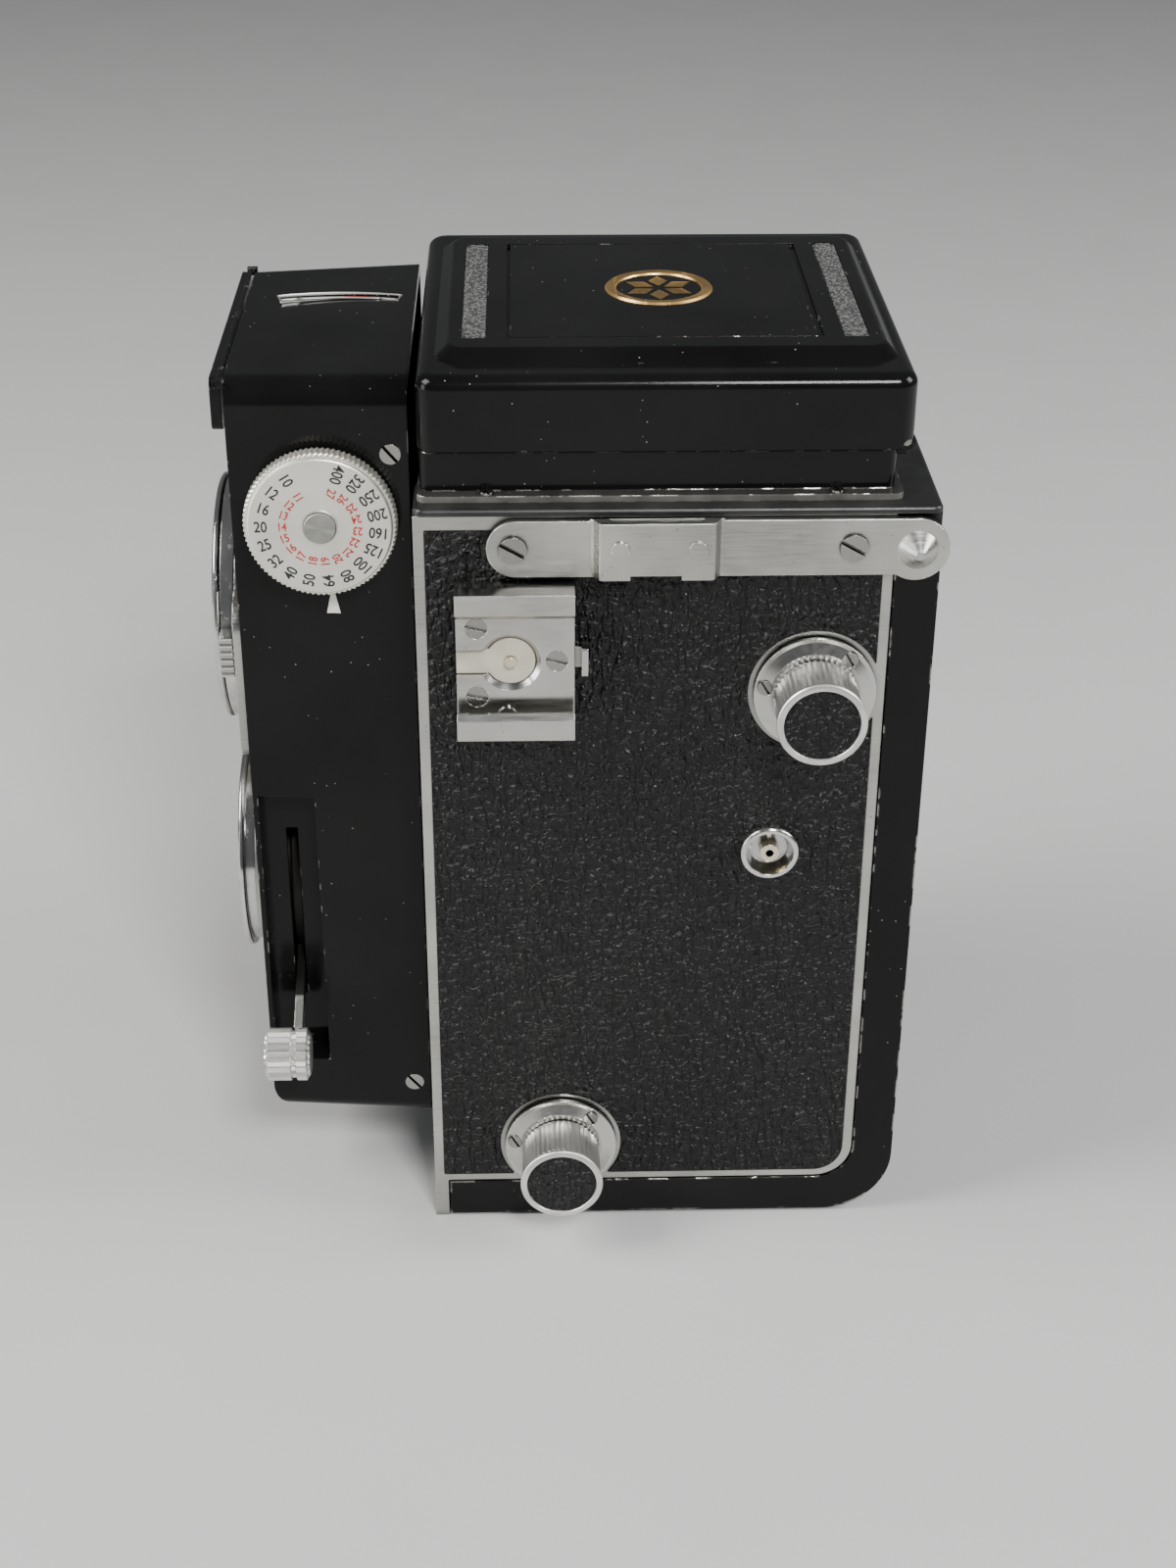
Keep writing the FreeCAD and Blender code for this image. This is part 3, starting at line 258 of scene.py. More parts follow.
def leatherette(name):
    """Black leatherette with rounded grain, upright and level wrinkles and slightly greyer high spots, partly
    dust and partly a painted sheen.
    """
    r = Recipe(name, (0.008, 0.008, 0.008), 0.0, 0.4)
    warp = r.add("ShaderNodeVectorMath", operation="MULTIPLY_ADD")
    wobble = r.add("ShaderNodeTexNoise")
    wobble.inputs["Scale"].default_value = 480
    wobble.inputs["Detail"].default_value = 3
    r.link(r.place, wobble.inputs["Vector"])
    r.link(wobble.outputs["Color"], warp.inputs[0])
    warp.inputs[1].default_value = (1.6 * MM, 1.6 * MM, 1.6 * MM)
    r.link(r.place, warp.inputs[2])
    upright = r.ridges(560, r.stretched(1.0, 1.0, 0.32), 0.060)
    level = r.ridges(520, r.stretched(1.0, 0.45, 1.0), 0.055)
    pebble = r.remap(r.cells(980, warp.outputs["Vector"], "SMOOTH_F1"), 0.08, 0.62, 1.0, 0.0)
    height = r.math("MULTIPLY", upright, r.remap(level, 0.0, 1.0, 0.45, 1.0))
    height = r.math("ADD", r.math("MULTIPLY", height, 0.70), pebble)
    height = r.math("ADD", height, r.math("MULTIPLY", r.noise(2600, 3.0), 0.04))
    tops = r.remap(height, 1.00, 1.70, 0.0, 1.0)
    # High spots greyer in patches: partly dust, partly a painted sheen on the grain's tops.
    tops_dust_and_sheen = r.math("MULTIPLY", tops, r.remap(r.noise(70, 4.0), 0.35, 0.70, 0.20, 1.0))
    r.into("Base Color", r.mix(tops_dust_and_sheen, (0.0012, 0.0012, 0.0012), (0.010, 0.0098, 0.0095)))
    r.into("Roughness", r.remap(pebble, 0.0, 1.0, 0.46, 0.25))
    r.set("Specular IOR Level", 0.33)
    r.into("Normal", r.bump(height, 0.60 * MM, 1.0))
    return r.material


def brushed_metal(name, colour, roughness, along=(1.0, 0.06, 1.0), lines=2600, tone=0.12, edge=EDGE):
    """Satin metal with a brushed direction, light and dark patches, pits, painted highlights on its edges and
    painted shade with some grime in its crevices.
    """
    r = Recipe(name, colour, 1.0, roughness)
    grain = r.noise(lines, 3.0, r.stretched(*along))
    patches = r.noise(70, 4.0)
    dull = tuple(c * (1 - 2.2 * tone) for c in colour)
    tinted = r.mix(r.remap(patches, 0.35, 0.7, 0.0, 1.0), colour, dull)
    tinted = r.mix(r.remap(grain, 0.3, 0.7, 0.0, 0.5), tinted, tuple(min(1.0, c * 1.08) for c in colour))
    spots = r.remap(r.cells(700), 0.05, 0.10, 1.0, 0.0)
    spots = r.math("MULTIPLY", spots, r.remap(r.noise(210, 2.0), 0.48, 0.58, 0.0, 1.0))
    tinted = r.mix(spots, tinted, tuple(c * 0.28 for c in colour))
    # Painted highlight: edges brightened in the colour, as if catching the light.
    tinted = r.mix(r.edge_mask(edge), tinted, tuple(min(1.0, c * 1.45) for c in colour))
    # Painted shade with some grime: corners and hollows darkened to a tenth of the colour.
    r.into("Base Color", r.mix(r.crevice(1.6 * MM), tinted, tuple(c * 0.10 for c in colour)))
    rough = r.remap(grain, 0.25, 0.75, roughness * 0.78, roughness * 1.25)
    r.into("Roughness", r.math("ADD", rough, r.remap(patches, 0.3, 0.8, -0.04, 0.08)))
    r.into("Normal", r.bump(grain, 0.010 * MM, 0.35, r.soft_edges(edge)))
    return r.material


def chrome(name, colour, roughness):
    """Bright plating with hairline scratches, finger marks, dull spots and painted shade with some grime in
    its crevices.
    """
    r = Recipe(name, colour, 1.0, roughness)
    marks = r.noise(150, 6.0)
    hair = r.remap(r.noise(1500, 2.0, r.stretched(0.05, 1.0, 1.0)), 0.62, 0.68, 0.0, 1.0)
    shade = r.mix(r.remap(marks, 0.5, 0.75, 0.0, 0.7), colour, tuple(c * 0.66 for c in colour))
    # Painted shade with some grime: corners and hollows darkened to about a tenth of the colour.
    r.into("Base Color", r.mix(r.crevice(1.6 * MM), shade, tuple(c * 0.12 for c in colour)))
    rough = r.remap(marks, 0.35, 0.75, roughness * 0.7, roughness * 2.2)
    r.into("Roughness", r.math("ADD", rough, r.math("MULTIPLY", hair, 0.12)))
    r.into("Normal", r.bump(marks, 0.008 * MM, 0.3, r.soft_edges(EDGE)))
    return r.material


def knurled_metal(name, colour, roughness):
    """Bright turned and knurled metal with finger marks."""
    r = Recipe(name, colour, 1.0, roughness)
    stain = r.noise(260, 5.0)
    r.into("Base Color", r.mix(r.remap(stain, 0.40, 0.75, 0.0, 1.0), colour, tuple(c * 0.72 for c in colour)))
    r.into("Roughness", r.remap(stain, 0.30, 0.80, roughness * 0.85, roughness * 1.3))
    return r.material


def anodised(name, colour, swirl):
    """Matt anodised disc with a circular finish that spreads its highlights into fans."""
    r = Recipe(name, colour, 0.75, 0.36)
    haze = r.noise(180, 5.0)
    r.into("Base Color", r.mix(r.remap(haze, 0.40, 0.75, 0.0, 0.8), colour, tuple(c * 0.84 for c in colour)))
    r.into("Roughness", r.remap(r.noise(2400, 2.0), 0.3, 0.7, 0.32, 0.42))
    r.set("Anisotropic", swirl)
    r.into("Tangent", r.add("ShaderNodeTangent", direction_type="RADIAL", axis="X").outputs["Tangent"])
    r.into("Normal", r.bump(r.noise(2800, 2.0), 0.003 * MM, 0.3, r.soft_edges(0.08 * MM)))
    return r.material


def shaded_chrome(name, clear_of):
    """Chrome with painted shade, nearly black, where it runs inside the housing, nearer the middle than
    clear_of.
    """
    r = Recipe(name, (0.72, 0.715, 0.70), 1.0, 0.16)
    inside = r.remap(r.math("ABSOLUTE", r.along("X"), 0.0), clear_of, clear_of + 0.8 * MM, 1.0, 0.0)
    marks = r.noise(190, 6.0)
    bright = r.mix(r.remap(marks, 0.45, 0.75, 0.0, 1.0), (0.90, 0.885, 0.84), (0.66, 0.65, 0.60))
    # Painted shade: the lever is coloured nearly black where it runs inside the housing.
    r.into("Base Color", r.mix(inside, bright, (0.03, 0.028, 0.026)))
    rough = r.remap(marks, 0.35, 0.75, 0.24, 0.36)
    r.into("Roughness", r.math("ADD", rough, r.math("MULTIPLY", inside, 0.2)))
    r.into("Normal", r.bump(marks, 0.006 * MM, 0.3, r.soft_edges(0.12 * MM)))
    return r.material


def lacquer(name, colour=(0.012, 0.012, 0.012), roughness=0.62):
    """Matt black anti-reflection lacquer with a powdery grain."""
    r = Recipe(name, colour, 0.0, roughness)
    grain = r.noise(2400, 5.0)
    light = tuple(c * 2.4 for c in colour)
    r.into("Base Color", r.mix(r.remap(r.noise(160, 5.0), 0.45, 0.75, 0.0, 1.0), colour, light))
    r.into("Roughness", r.remap(grain, 0.2, 0.8, roughness * 0.8, min(1.0, roughness * 1.2)))
    r.into("Normal", r.bump(grain, 0.02 * MM, 0.5, r.soft_edges(EDGE)))
    return r.material


def coated_glass(name, tint):
    """Clear glass with a thin coloured coating and a little dust."""
    r = Recipe(name, tint, 0.0, 0.02)
    specks = r.remap(r.cells(900), 0.03, 0.05, 1.0, 0.0)
    dust = r.math("MULTIPLY", specks, r.remap(r.noise(300), 0.6, 0.7, 0.0, 0.5))
    r.into("Roughness", r.math("ADD", r.remap(r.noise(60, 3.0), 0.3, 0.8, 0.0, 0.05), dust))
    r.set("Transmission Weight", 1.0)
    r.set("IOR", 1.52)
    r.set("Coat Weight", 1.0)
    r.set("Coat Tint", (0.74, 0.68, 0.95, 1))
    return r.material


def meter_scale(name):
    """Pale scale under glass, with a red mark part way along and patches of grime."""
    r = Recipe(name, (0.30, 0.30, 0.27), 0.0, 0.12)
    grime = r.remap(r.noise(420, 4.0), 0.35, 0.70, 0.0, 1.0)
    pale = r.mix(grime, (0.34, 0.34, 0.31), (0.10, 0.10, 0.095))
    off_centre = r.math("ABSOLUTE", r.math("ADD", r.along("Y"), RED_MARK), 0.0)
    red = r.remap(off_centre, 1.6 * MM, 2.6 * MM, 0.8, 0.0)
    r.into("Base Color", r.mix(red, pale, (0.36, 0.03, 0.02)))
    r.into("Roughness", r.remap(grime, 0.0, 1.0, 0.08, 0.30))
    return r.material


def mirror_glass(name):
    r = Recipe(name, (0.86, 0.87, 0.87), 1.0, 0.02)
    haze = r.noise(60, 5.0)
    r.into("Roughness", r.remap(haze, 0.45, 0.8, 0.015, 0.12))
    r.into("Base Color", r.mix(r.remap(haze, 0.4, 0.8, 0.0, 1.0), (0.88, 0.89, 0.89), (0.70, 0.71, 0.70)))
    return r.material


def ground_glass(name):
    r = Recipe(name, (0.62, 0.65, 0.66), 0.0, 0.55)
    grain = r.noise(4200, 3.0)
    r.into("Roughness", r.remap(grain, 0.2, 0.8, 0.45, 0.70))
    r.into("Base Color", r.mix(r.noise(70, 4.0), (0.56, 0.59, 0.60), (0.70, 0.72, 0.72)))
    r.set("Transmission Weight", 0.35)
    r.into("Normal", r.bump(grain, 0.01 * MM, 0.5))
    return r.material


def plastic(name, colour, roughness):
    r = Recipe(name, colour, 0.0, roughness)
    stain = r.noise(240, 6.0)
    r.into("Base Color", r.mix(r.remap(stain, 0.4, 0.75, 0.0, 1.0), colour, tuple(c * 0.72 for c in colour)))
    r.into("Roughness", r.remap(stain, 0.3, 0.8, roughness * 0.8, roughness * 1.3))
    r.into("Normal", r.bump(r.noise(1800, 3.0), 0.012 * MM, 0.4, r.soft_edges(EDGE)))
    return r.material


def grip_strip(name):
    """Grey crinkle finish of the two strips on the lid."""
    r = Recipe(name, (0.11, 0.11, 0.11), 0.0, 0.7)
    lumps = r.cells(2100)
    speck = r.remap(lumps, 0.1, 0.6, 1.0, 0.0)
    r.into("Base Color", r.mix(speck, (0.035, 0.035, 0.035), (0.20, 0.20, 0.195)))
    r.into("Roughness", r.remap(r.noise(500), 0.3, 0.7, 0.55, 0.8))
    r.into("Normal", r.bump(speck, 0.16 * MM, 0.9))
    return r.material


def paint(name, colour):
    """Ink filled into a stamped mark."""
    r = Recipe(name, colour, 0.0, 0.45)
    fade = r.remap(r.noise(1300, 5.0), 0.45, 0.75, 0.0, 0.6)
    r.into("Base Color", r.mix(fade, colour, tuple(min(1.0, c * 1.6 + 0.04) for c in colour)))
    return r.material


ENAMEL = enamel("black_enamel", 0.60)
LID_ENAMEL = enamel("black_enamel_lid", 0.64)
DOOR_ENAMEL = enamel("black_enamel_door", 0.52, 0.5 * MM)
HOOD_ENAMEL = enamel("black_enamel_hood_base", 0.53, worn_below=125.62 * MM)
LEATHER = leatherette("pebbled_leatherette")
SATIN = brushed_metal("satin_aluminium", (0.50, 0.495, 0.465), 0.30, tone=0.18)
FLANGE_METAL = brushed_metal("flange_metal", (0.55, 0.545, 0.52), 0.22, (1.0, 1.0, 1.0), 900, 0.08, 0.15 * MM)
KNURLED = knurled_metal("knurled_metal", (0.78, 0.77, 0.74), 0.38)
CHROME = chrome("bright_chrome", (0.66, 0.655, 0.64), 0.13)
SHOE_METAL = brushed_metal("shoe_metal", (0.52, 0.515, 0.49), 0.20, (1.0, 0.10, 1.0), 1500, 0.14, 0.18 * MM)
STEEL = brushed_metal("screw_steel", (0.34, 0.33, 0.31), 0.24, (1.0, 1.0, 1.0), 1800, 0.12, 0.06 * MM)
CONTACT = chrome("contact_metal", (0.74, 0.68, 0.52), 0.2)
GOLD = chrome("badge_gold", (0.95, 0.62, 0.24), 0.24)
LACQUER = lacquer("anti_reflection_lacquer")
CASTING = lacquer("casting_enamel", (0.010, 0.010, 0.010), 0.34)
DIAL_SILVER = anodised("dial_silver", (0.80, 0.785, 0.70), 0.3)
DIAL_HUB = anodised("dial_hub", (0.34, 0.34, 0.31), 0.85)
LEVER_CHROME = shaded_chrome("lever_chrome", 27.0 * MM)
INSULATOR = plastic("cream_insulator", (0.62, 0.58, 0.47), 0.5)
SPOOL = plastic("spool_black", (0.02, 0.02, 0.02), 0.4)
LENS = coated_glass("coated_lens", (0.93, 0.95, 1.0))
WINDOW = coated_glass("window_glass", (0.92, 0.92, 0.90))
METER_SCALE = meter_scale("meter_scale")
MIRROR = mirror_glass("mirror_silver")
SCREEN = ground_glass("ground_screen")
GRIP_STRIP = grip_strip("crinkle_strip")
INK_BLACK = paint("ink_black", (0.010, 0.010, 0.010))
INK_RED = paint("ink_red", (0.42, 0.02, 0.015))
INK_WHITE = paint("ink_white", (0.78, 0.76, 0.68))


# ---------------------------------------------------------------- mesh tools
def finish_piece(name, mesh, material, body, smooth_degrees=32):
    piece = bpy.data.objects.new(name, mesh)
    bpy.context.scene.collection.objects.link(piece)
    mesh.materials.append(material)
    mesh.shade_smooth()
    mesh.set_sharp_from_angle(angle=math.radians(smooth_degrees))
    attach(piece, body)
    return piece


def mesh_from(name, points, faces):
    mesh = bpy.data.meshes.new(name)
    mesh.from_pydata([tuple(p) for p in points], [], faces)
    mesh.validate()
    mesh.update()
    return mesh


def side_axes(axis):
    """Two directions square to an axis."""
    if abs(axis.x) > 0.9:
        return Y_AXIS, Z_AXIS
    if abs(axis.y) > 0.9:
        return Z_AXIS, X_AXIS
    return X_AXIS, Y_AXIS


def turned_mesh(name, origin, axis, profile, ribs=0, depth=0.0, around=72):
    """Surface of revolution from (along, radius, ribbed) points in millimetres.

    Ribbed rings dip by the depth at every second step, which makes the knurling. Flat faces close the ends.
    """
    first, second = side_axes(axis)
    count = ribs * 2 if ribs else around
    points = []
    for along, radius, ribbed in profile:
        for step in range(count):
            angle = 2 * math.pi * step / count
            dip = depth if ribbed and ribs and step % 2 else 0.0
            reach = (radius - dip) * MM
            points.append(origin + axis * (along * MM)
                          + first * (reach * math.cos(angle)) + second * (reach * math.sin(angle)))
    faces = []
    for ring in range(len(profile) - 1):
        for step in range(count):
            following = (step + 1) % count
            a, b = ring * count + step, ring * count + following
            faces.append((a, b, b + count, a + count))
    faces.append(tuple(reversed(range(count))))
    last = (len(profile) - 1) * count
    faces.append(tuple(range(last, last + count)))
    mesh = mesh_from(name, points, faces)
    work = bmesh.new()
    work.from_mesh(mesh)
    bmesh.ops.recalc_face_normals(work, faces=work.faces)
    work.to_mesh(mesh)
    work.free()
    return mesh


def unribbed(profile):
    """Profile points from (along, radius) pairs, with no knurling."""
    return [(along, radius, False) for along, radius in profile]


def without_ends(mesh):
    """Takes out the flat faces that close a turned mesh's ends; they have more than four corners."""
    work = bmesh.new()
    work.from_mesh(mesh)
    ends = [face for face in work.faces if len(face.verts) > 4]
    bmesh.ops.delete(work, geom=ends, context="FACES_ONLY")
    work.to_mesh(mesh)
    work.free()
    return mesh


def dress(material, *nodes):
    """Gives CAD nodes a material and smooth shading on their round faces."""
    for node in nodes:
        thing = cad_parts[node]
        thing.data.materials.clear()
        thing.data.materials.append(material)
        thing.data.shade_smooth()
        thing.data.set_sharp_from_angle(angle=math.radians(28))


# ---------------------------------------------------------------- CAD nodes that keep their shape
def dress_cad_nodes():
    dress(ENAMEL, "front_housing", "meter_flap")
    dress(LID_ENAMEL, "hood_lid")
    dress(DOOR_ENAMEL, "door_back", "door_floor")
    dress(HOOD_ENAMEL, "hood_base")
    dress(CASTING, "body_casting")
    dress(LEATHER, "left_leatherette", "right_leatherette", "door_leatherette")
    dress(SATIN, "left_trim_plate", "right_trim_plate", "front_plate", "counter_disc", "pressure_plate",
          "left_strap_bar", "right_strap_bar", "sync_lever")
    dress(SHOE_METAL, "accessory_shoe")
    dress(CHROME, "shutter_button", "sync_socket_ring", "wind_crank", "crank_bearing", "door_lock_ring",
          "exposure_ring", "upper_roller", "lower_roller", "take_up_shaft")
    dress(FLANGE_METAL, "knob_flanges")
    dress(LEVER_CHROME, "focus_lever")
    dress(STEEL, "case_screws", "small_screws", "housing_screws", "hinge_pins", "tripod_bush")
    dress(INSULATOR, "shoe_insulator")
    dress(CONTACT, "flash_contacts")
    dress(LACQUER, "film_gate", "standard_sleeve", "shutter_housing", "hood_left_wing", "hood_right_wing",
          "hood_front_panel", "magnifier_frame")
    dress(SPOOL, "take_up_spool", "crank_handle")
    dress(LENS, "viewing_lens_glass", "taking_lens_glass", "magnifier_lens")
    dress(METER_SCALE, "meter_window")
    dress(WINDOW, "meter_cell", "counter_window")
    dress(MIRROR, "reflex_mirror")
    dress(SCREEN, "focusing_screen")


# ---------------------------------------------------------------- door without a seam
ON_SEAM = 1e-6           # a face whose corners are all this near the seam's level lies in the seam
SAME_CORNER = 2e-6       # corners closer than this are one


def seamless_door():
    """The door's back wall and floor pan are one pressing, so their meeting faces are taken out."""
    joined = bmesh.new()
    for node in ("door_back", "door_floor"):
        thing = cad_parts[node]
        mesh = thing.data.copy()
        mesh.transform(thing.matrix_world)
        joined.from_mesh(mesh)
        bpy.data.meshes.remove(mesh)
    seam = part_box("door_back")[0].z
    hidden = [face for face in joined.faces if all(abs(v.co.z - seam) < ON_SEAM for v in face.verts)]
    bmesh.ops.delete(joined, geom=hidden, context="FACES_ONLY")
    bmesh.ops.remove_doubles(joined, verts=joined.verts, dist=SAME_CORNER)
    mesh = bpy.data.meshes.new("seamless_door")
    joined.to_mesh(mesh)
    joined.free()
    door = finish_piece("seamless_door", mesh, DOOR_ENAMEL, "back_door", 28)
    even = door.modifiers.new("even_normals", "WEIGHTED_NORMAL")
    even.keep_sharp = True
    even.weight = 100
    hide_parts("door_back", "door_floor")


# ---------------------------------------------------------------- film knobs
KNOB_RIBS = 46
KNOB_RIB_DEPTH = 0.24
FLANGE_FACE = 39.45      # where the knob's shank widens, just clear of the flange
GRIP_RADIUS = 6.15
RIM_RADIUS = 6.45


def film_knob(node, body):
    """Turned knob on a thin shank: knurled grip, groove, bright rim and a leatherette disc in its end."""
    low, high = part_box(node)
    centre = (low + high) / 2
    origin = Vector((0, centre.y, centre.z))
    start = low.x / MM
    end = high.x / MM
    profile = [(start, 2.2, False), (start + 0.6, 2.8, False), (FLANGE_FACE, 2.8, False),
               (39.5, 5.7, False), (39.75, 5.95, True), (40.0, GRIP_RADIUS, True),
               (end - 1.25, GRIP_RADIUS, True), (end - 1.1, 5.95, True), (end - 1.0, 5.8, False),
               (end - 0.9, 6.2, False), (end - 0.7, RIM_RADIUS, False), (end - 0.3, RIM_RADIUS, False),
               (end - 0.1, 6.3, False), (end, 6.0, False), (end, 5.5, False), (end - 0.3, 5.3, False)]
    mesh = turned_mesh(node + "_turned", origin, X_AXIS, profile, KNOB_RIBS, KNOB_RIB_DEPTH)
    knob = finish_piece(node + "_turned", mesh, KNURLED, body)
    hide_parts(node)
    disc = unribbed([(end - 0.32, 5.35), (end - 0.12, 5.3), (end - 0.03, 4.9), (end, 3.0), (end + 0.01, 0.5)])
    mesh = turned_mesh(node + "_inlay", origin, X_AXIS, disc)
    finish_piece(node + "_inlay", mesh, LEATHER, body)


# ---------------------------------------------------------------- film speed dial
SPEEDS = (10, 12, 16, 20, 25, 32, 40, 50, 64, 80, 100, 125, 160, 200, 250, 320, 400)
FIRST_DEGREE_NUMBER = 11
NUMBER_PITCH = 19.3
FIRST_NUMBER_ANGLE = 180 - 3 * NUMBER_PITCH
SPEED_RADIUS = 8.35
SPEED_HEIGHT = 1.62
DEGREE_RADIUS = 5.35
DEGREE_HEIGHT = 1.22
DIAL_RIBS = 88
DIAL_RIB_DEPTH = 0.26
DIAL_FACE = 31.72        # x of the dial's printed face
DIGIT_HEIGHT = 0.70      # of the type size
DIGIT_WIDTH = 0.82       # the digits are narrowed to this share of their width


def text_mesh(name, words, size):
    """Mesh of centred text in the XY plane, of a given digit height in millimetres."""
    curve = bpy.data.curves.new(name, "FONT")
    curve.body = words
    curve.size = size * MM / DIGIT_HEIGHT
    curve.align_x = "CENTER"
    curve.align_y = "CENTER"
    curve.extrude = 0.01 * MM
    curve.offset = 0.035 * MM
    curve.resolution_u = 3
    holder = bpy.data.objects.new(name, curve)
    mesh = bpy.data.meshes.new_from_object(holder)
    bpy.data.objects.remove(holder)
    return mesh


def ring_of_numbers(name, numbers, size, radius, origin, material):
    """Numbers that read from the rim towards the hub, joined into one mesh."""
    joined = bmesh.new()
    for index, number in enumerate(numbers):
        angle = math.radians(FIRST_NUMBER_ANGLE + index * NUMBER_PITCH)
        outward = Y_AXIS * math.cos(angle) + Z_AXIS * math.sin(angle)
        reading = -outward
        upright = X_AXIS.cross(reading)
        place = origin + outward * radius * MM
        turn = Matrix((reading, upright, X_AXIS)).transposed().to_4x4()
        mesh = text_mesh("number", str(number), size)
        mesh.transform(Matrix.Translation(place) @ turn @ Matrix.Diagonal((DIGIT_WIDTH, 1.0, 1.0, 1.0)))
        joined.from_mesh(mesh)
        bpy.data.meshes.remove(mesh)
    mesh = bpy.data.meshes.new(name)
    joined.to_mesh(mesh)
    joined.free()
    finish_piece(name, mesh, material, "film_speed_dial")


def film_speed_dial():
    """Silver dial with a knurled edge, two rings of numbers, and a collar round its hub."""
    low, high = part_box("asa_dial")
    centre = (low + high) / 2
    origin = Vector((0, centre.y, centre.z))
    top = high.x / MM
    profile = [(low.x / MM, 2.0, False), (28.45, 2.0, False), (28.45, 10.2, False), (28.7, 10.7, True),
               (28.9, 10.95, True), (30.9, 10.95, True), (31.15, 10.75, True), (31.2, 10.35, False),
               (31.62, 10.2, False), (31.72, 10.05, False), (31.7, 9.85, False), (31.7, 0.5, False)]
    mesh = turned_mesh("dial_turned", origin, X_AXIS, profile, DIAL_RIBS, DIAL_RIB_DEPTH)
    dial = finish_piece("dial_turned", mesh, DIAL_SILVER, "film_speed_dial")
    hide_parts("asa_dial")
    collar = unribbed([(31.6, 2.62), (31.95, 2.55), (32.0, 2.42), (31.9, 2.3)])
    mesh = turned_mesh("dial_collar", origin, X_AXIS, collar, around=64)
    finish_piece("dial_collar", mesh, KNURLED, "film_speed_dial")
    hub = unribbed([(31.6, 2.3), (top - 0.12, 2.3), (top, 2.18), (top, 0.05)])
    mesh = turned_mesh("dial_hub", origin, X_AXIS, hub, around=64)
    finish_piece("dial_hub", mesh, DIAL_HUB, "film_speed_dial")
    face = Vector((DIAL_FACE * MM, origin.y, origin.z))
    ring_of_numbers("dial_speeds", SPEEDS, SPEED_HEIGHT, SPEED_RADIUS, face, INK_BLACK)
    degrees = range(FIRST_DEGREE_NUMBER, FIRST_DEGREE_NUMBER + len(SPEEDS))
    ring_of_numbers("dial_degrees", degrees, DEGREE_HEIGHT, DEGREE_RADIUS, face, INK_RED)


# ---------------------------------------------------------------- marks on the front housing
HOUSING_TAPER = 1.9 * MM
INDEX_CORNERS = ((-49.55, 107.7), (-50.3, 104.2), (-48.3, 104.2), (-49.05, 107.7))
INDEX_GAP = 0.03 * MM
INDEX_THICKNESS = 0.03 * MM


def housing_side(y):
    """x of the front housing's side at a given y, both in metres."""
    low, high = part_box("front_housing")
    return high.x - HOUSING_TAPER * (high.y - y) / (high.y - low.y)


def dial_index():
    """White pointer, narrow end up, on the housing's side below the dial."""
    points = []
    for y, z in INDEX_CORNERS:
        points.append(Vector((housing_side(y * MM) + INDEX_GAP, y * MM, z * MM)))
    lifted = [point + X_AXIS * INDEX_THICKNESS for point in points]
    faces = [(0, 1, 2, 3), (7, 6, 5, 4), (0, 4, 5, 1), (1, 5, 6, 2), (2, 6, 7, 3), (3, 7, 4, 0)]
    mesh = mesh_from("dial_index", points + lifted, faces)
    finish_piece("dial_index", mesh, INK_WHITE, "front_standard")


METER_ARC_CENTRE = (21.8, -49.1)
METER_ARC_RADIUS = 31.8
METER_HALF_LENGTH = 9.0
METER_HALF_WIDTH = 1.1
METER_ARC_STEPS = 24
METER_RIM_PROFILE = ((0.0, -0.30), (0.0, 0.05), (0.06, 0.10), (0.20, 0.10), (0.27, 0.04), (0.27, -0.05))


def window_rim():
    """Bright rim round the curved meter window on top of the housing."""
    centre = Vector((*METER_ARC_CENTRE, 0)) * MM
    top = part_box("front_housing")[1].z
    half_angle = math.asin(METER_HALF_LENGTH / METER_ARC_RADIUS)
    path = []
    for side in (1, -1):
        reach = METER_ARC_RADIUS * MM + side * METER_HALF_WIDTH * MM
        for step in range(METER_ARC_STEPS + 1):
            angle = math.pi + side * half_angle * (1 - 2 * step / METER_ARC_STEPS)
            path.append(centre + Vector((math.cos(angle), math.sin(angle), 0)) * reach)
    middle = sum(path, Vector((0, 0, 0))) / len(path)
    count = len(path)
    points = []
    for grow, lift in METER_RIM_PROFILE:
        for index, point in enumerate(path):
            ahead = (path[(index + 1) % count] - path[index - 1]).normalized()
            outward = Vector((ahead.y, -ahead.x, 0))
            if outward.dot(point - middle) < 0:
                outward = -outward
            points.append(point + outward * grow * MM + Z_AXIS * (top + lift * MM))
    faces = []
    for ring in range(len(METER_RIM_PROFILE) - 1):
        for index in range(count):
            following = (index + 1) % count
            faces.append((ring * count + index, ring * count + following,
                          (ring + 1) * count + following, (ring + 1) * count + index))
    mesh = mesh_from("window_rim", points, faces)
    finish_piece("window_rim", mesh, KNURLED, "front_standard", 60)


# ---------------------------------------------------------------- focusing grips
GROOVE_FRONT, GROOVE_BACK = -58.85, -58.25
FOCUS_GRIP_RADIUS = 4.2
FOCUS_GRIP_RIBS = 22
FOCUS_GRIP_RIB_DEPTH = 0.42


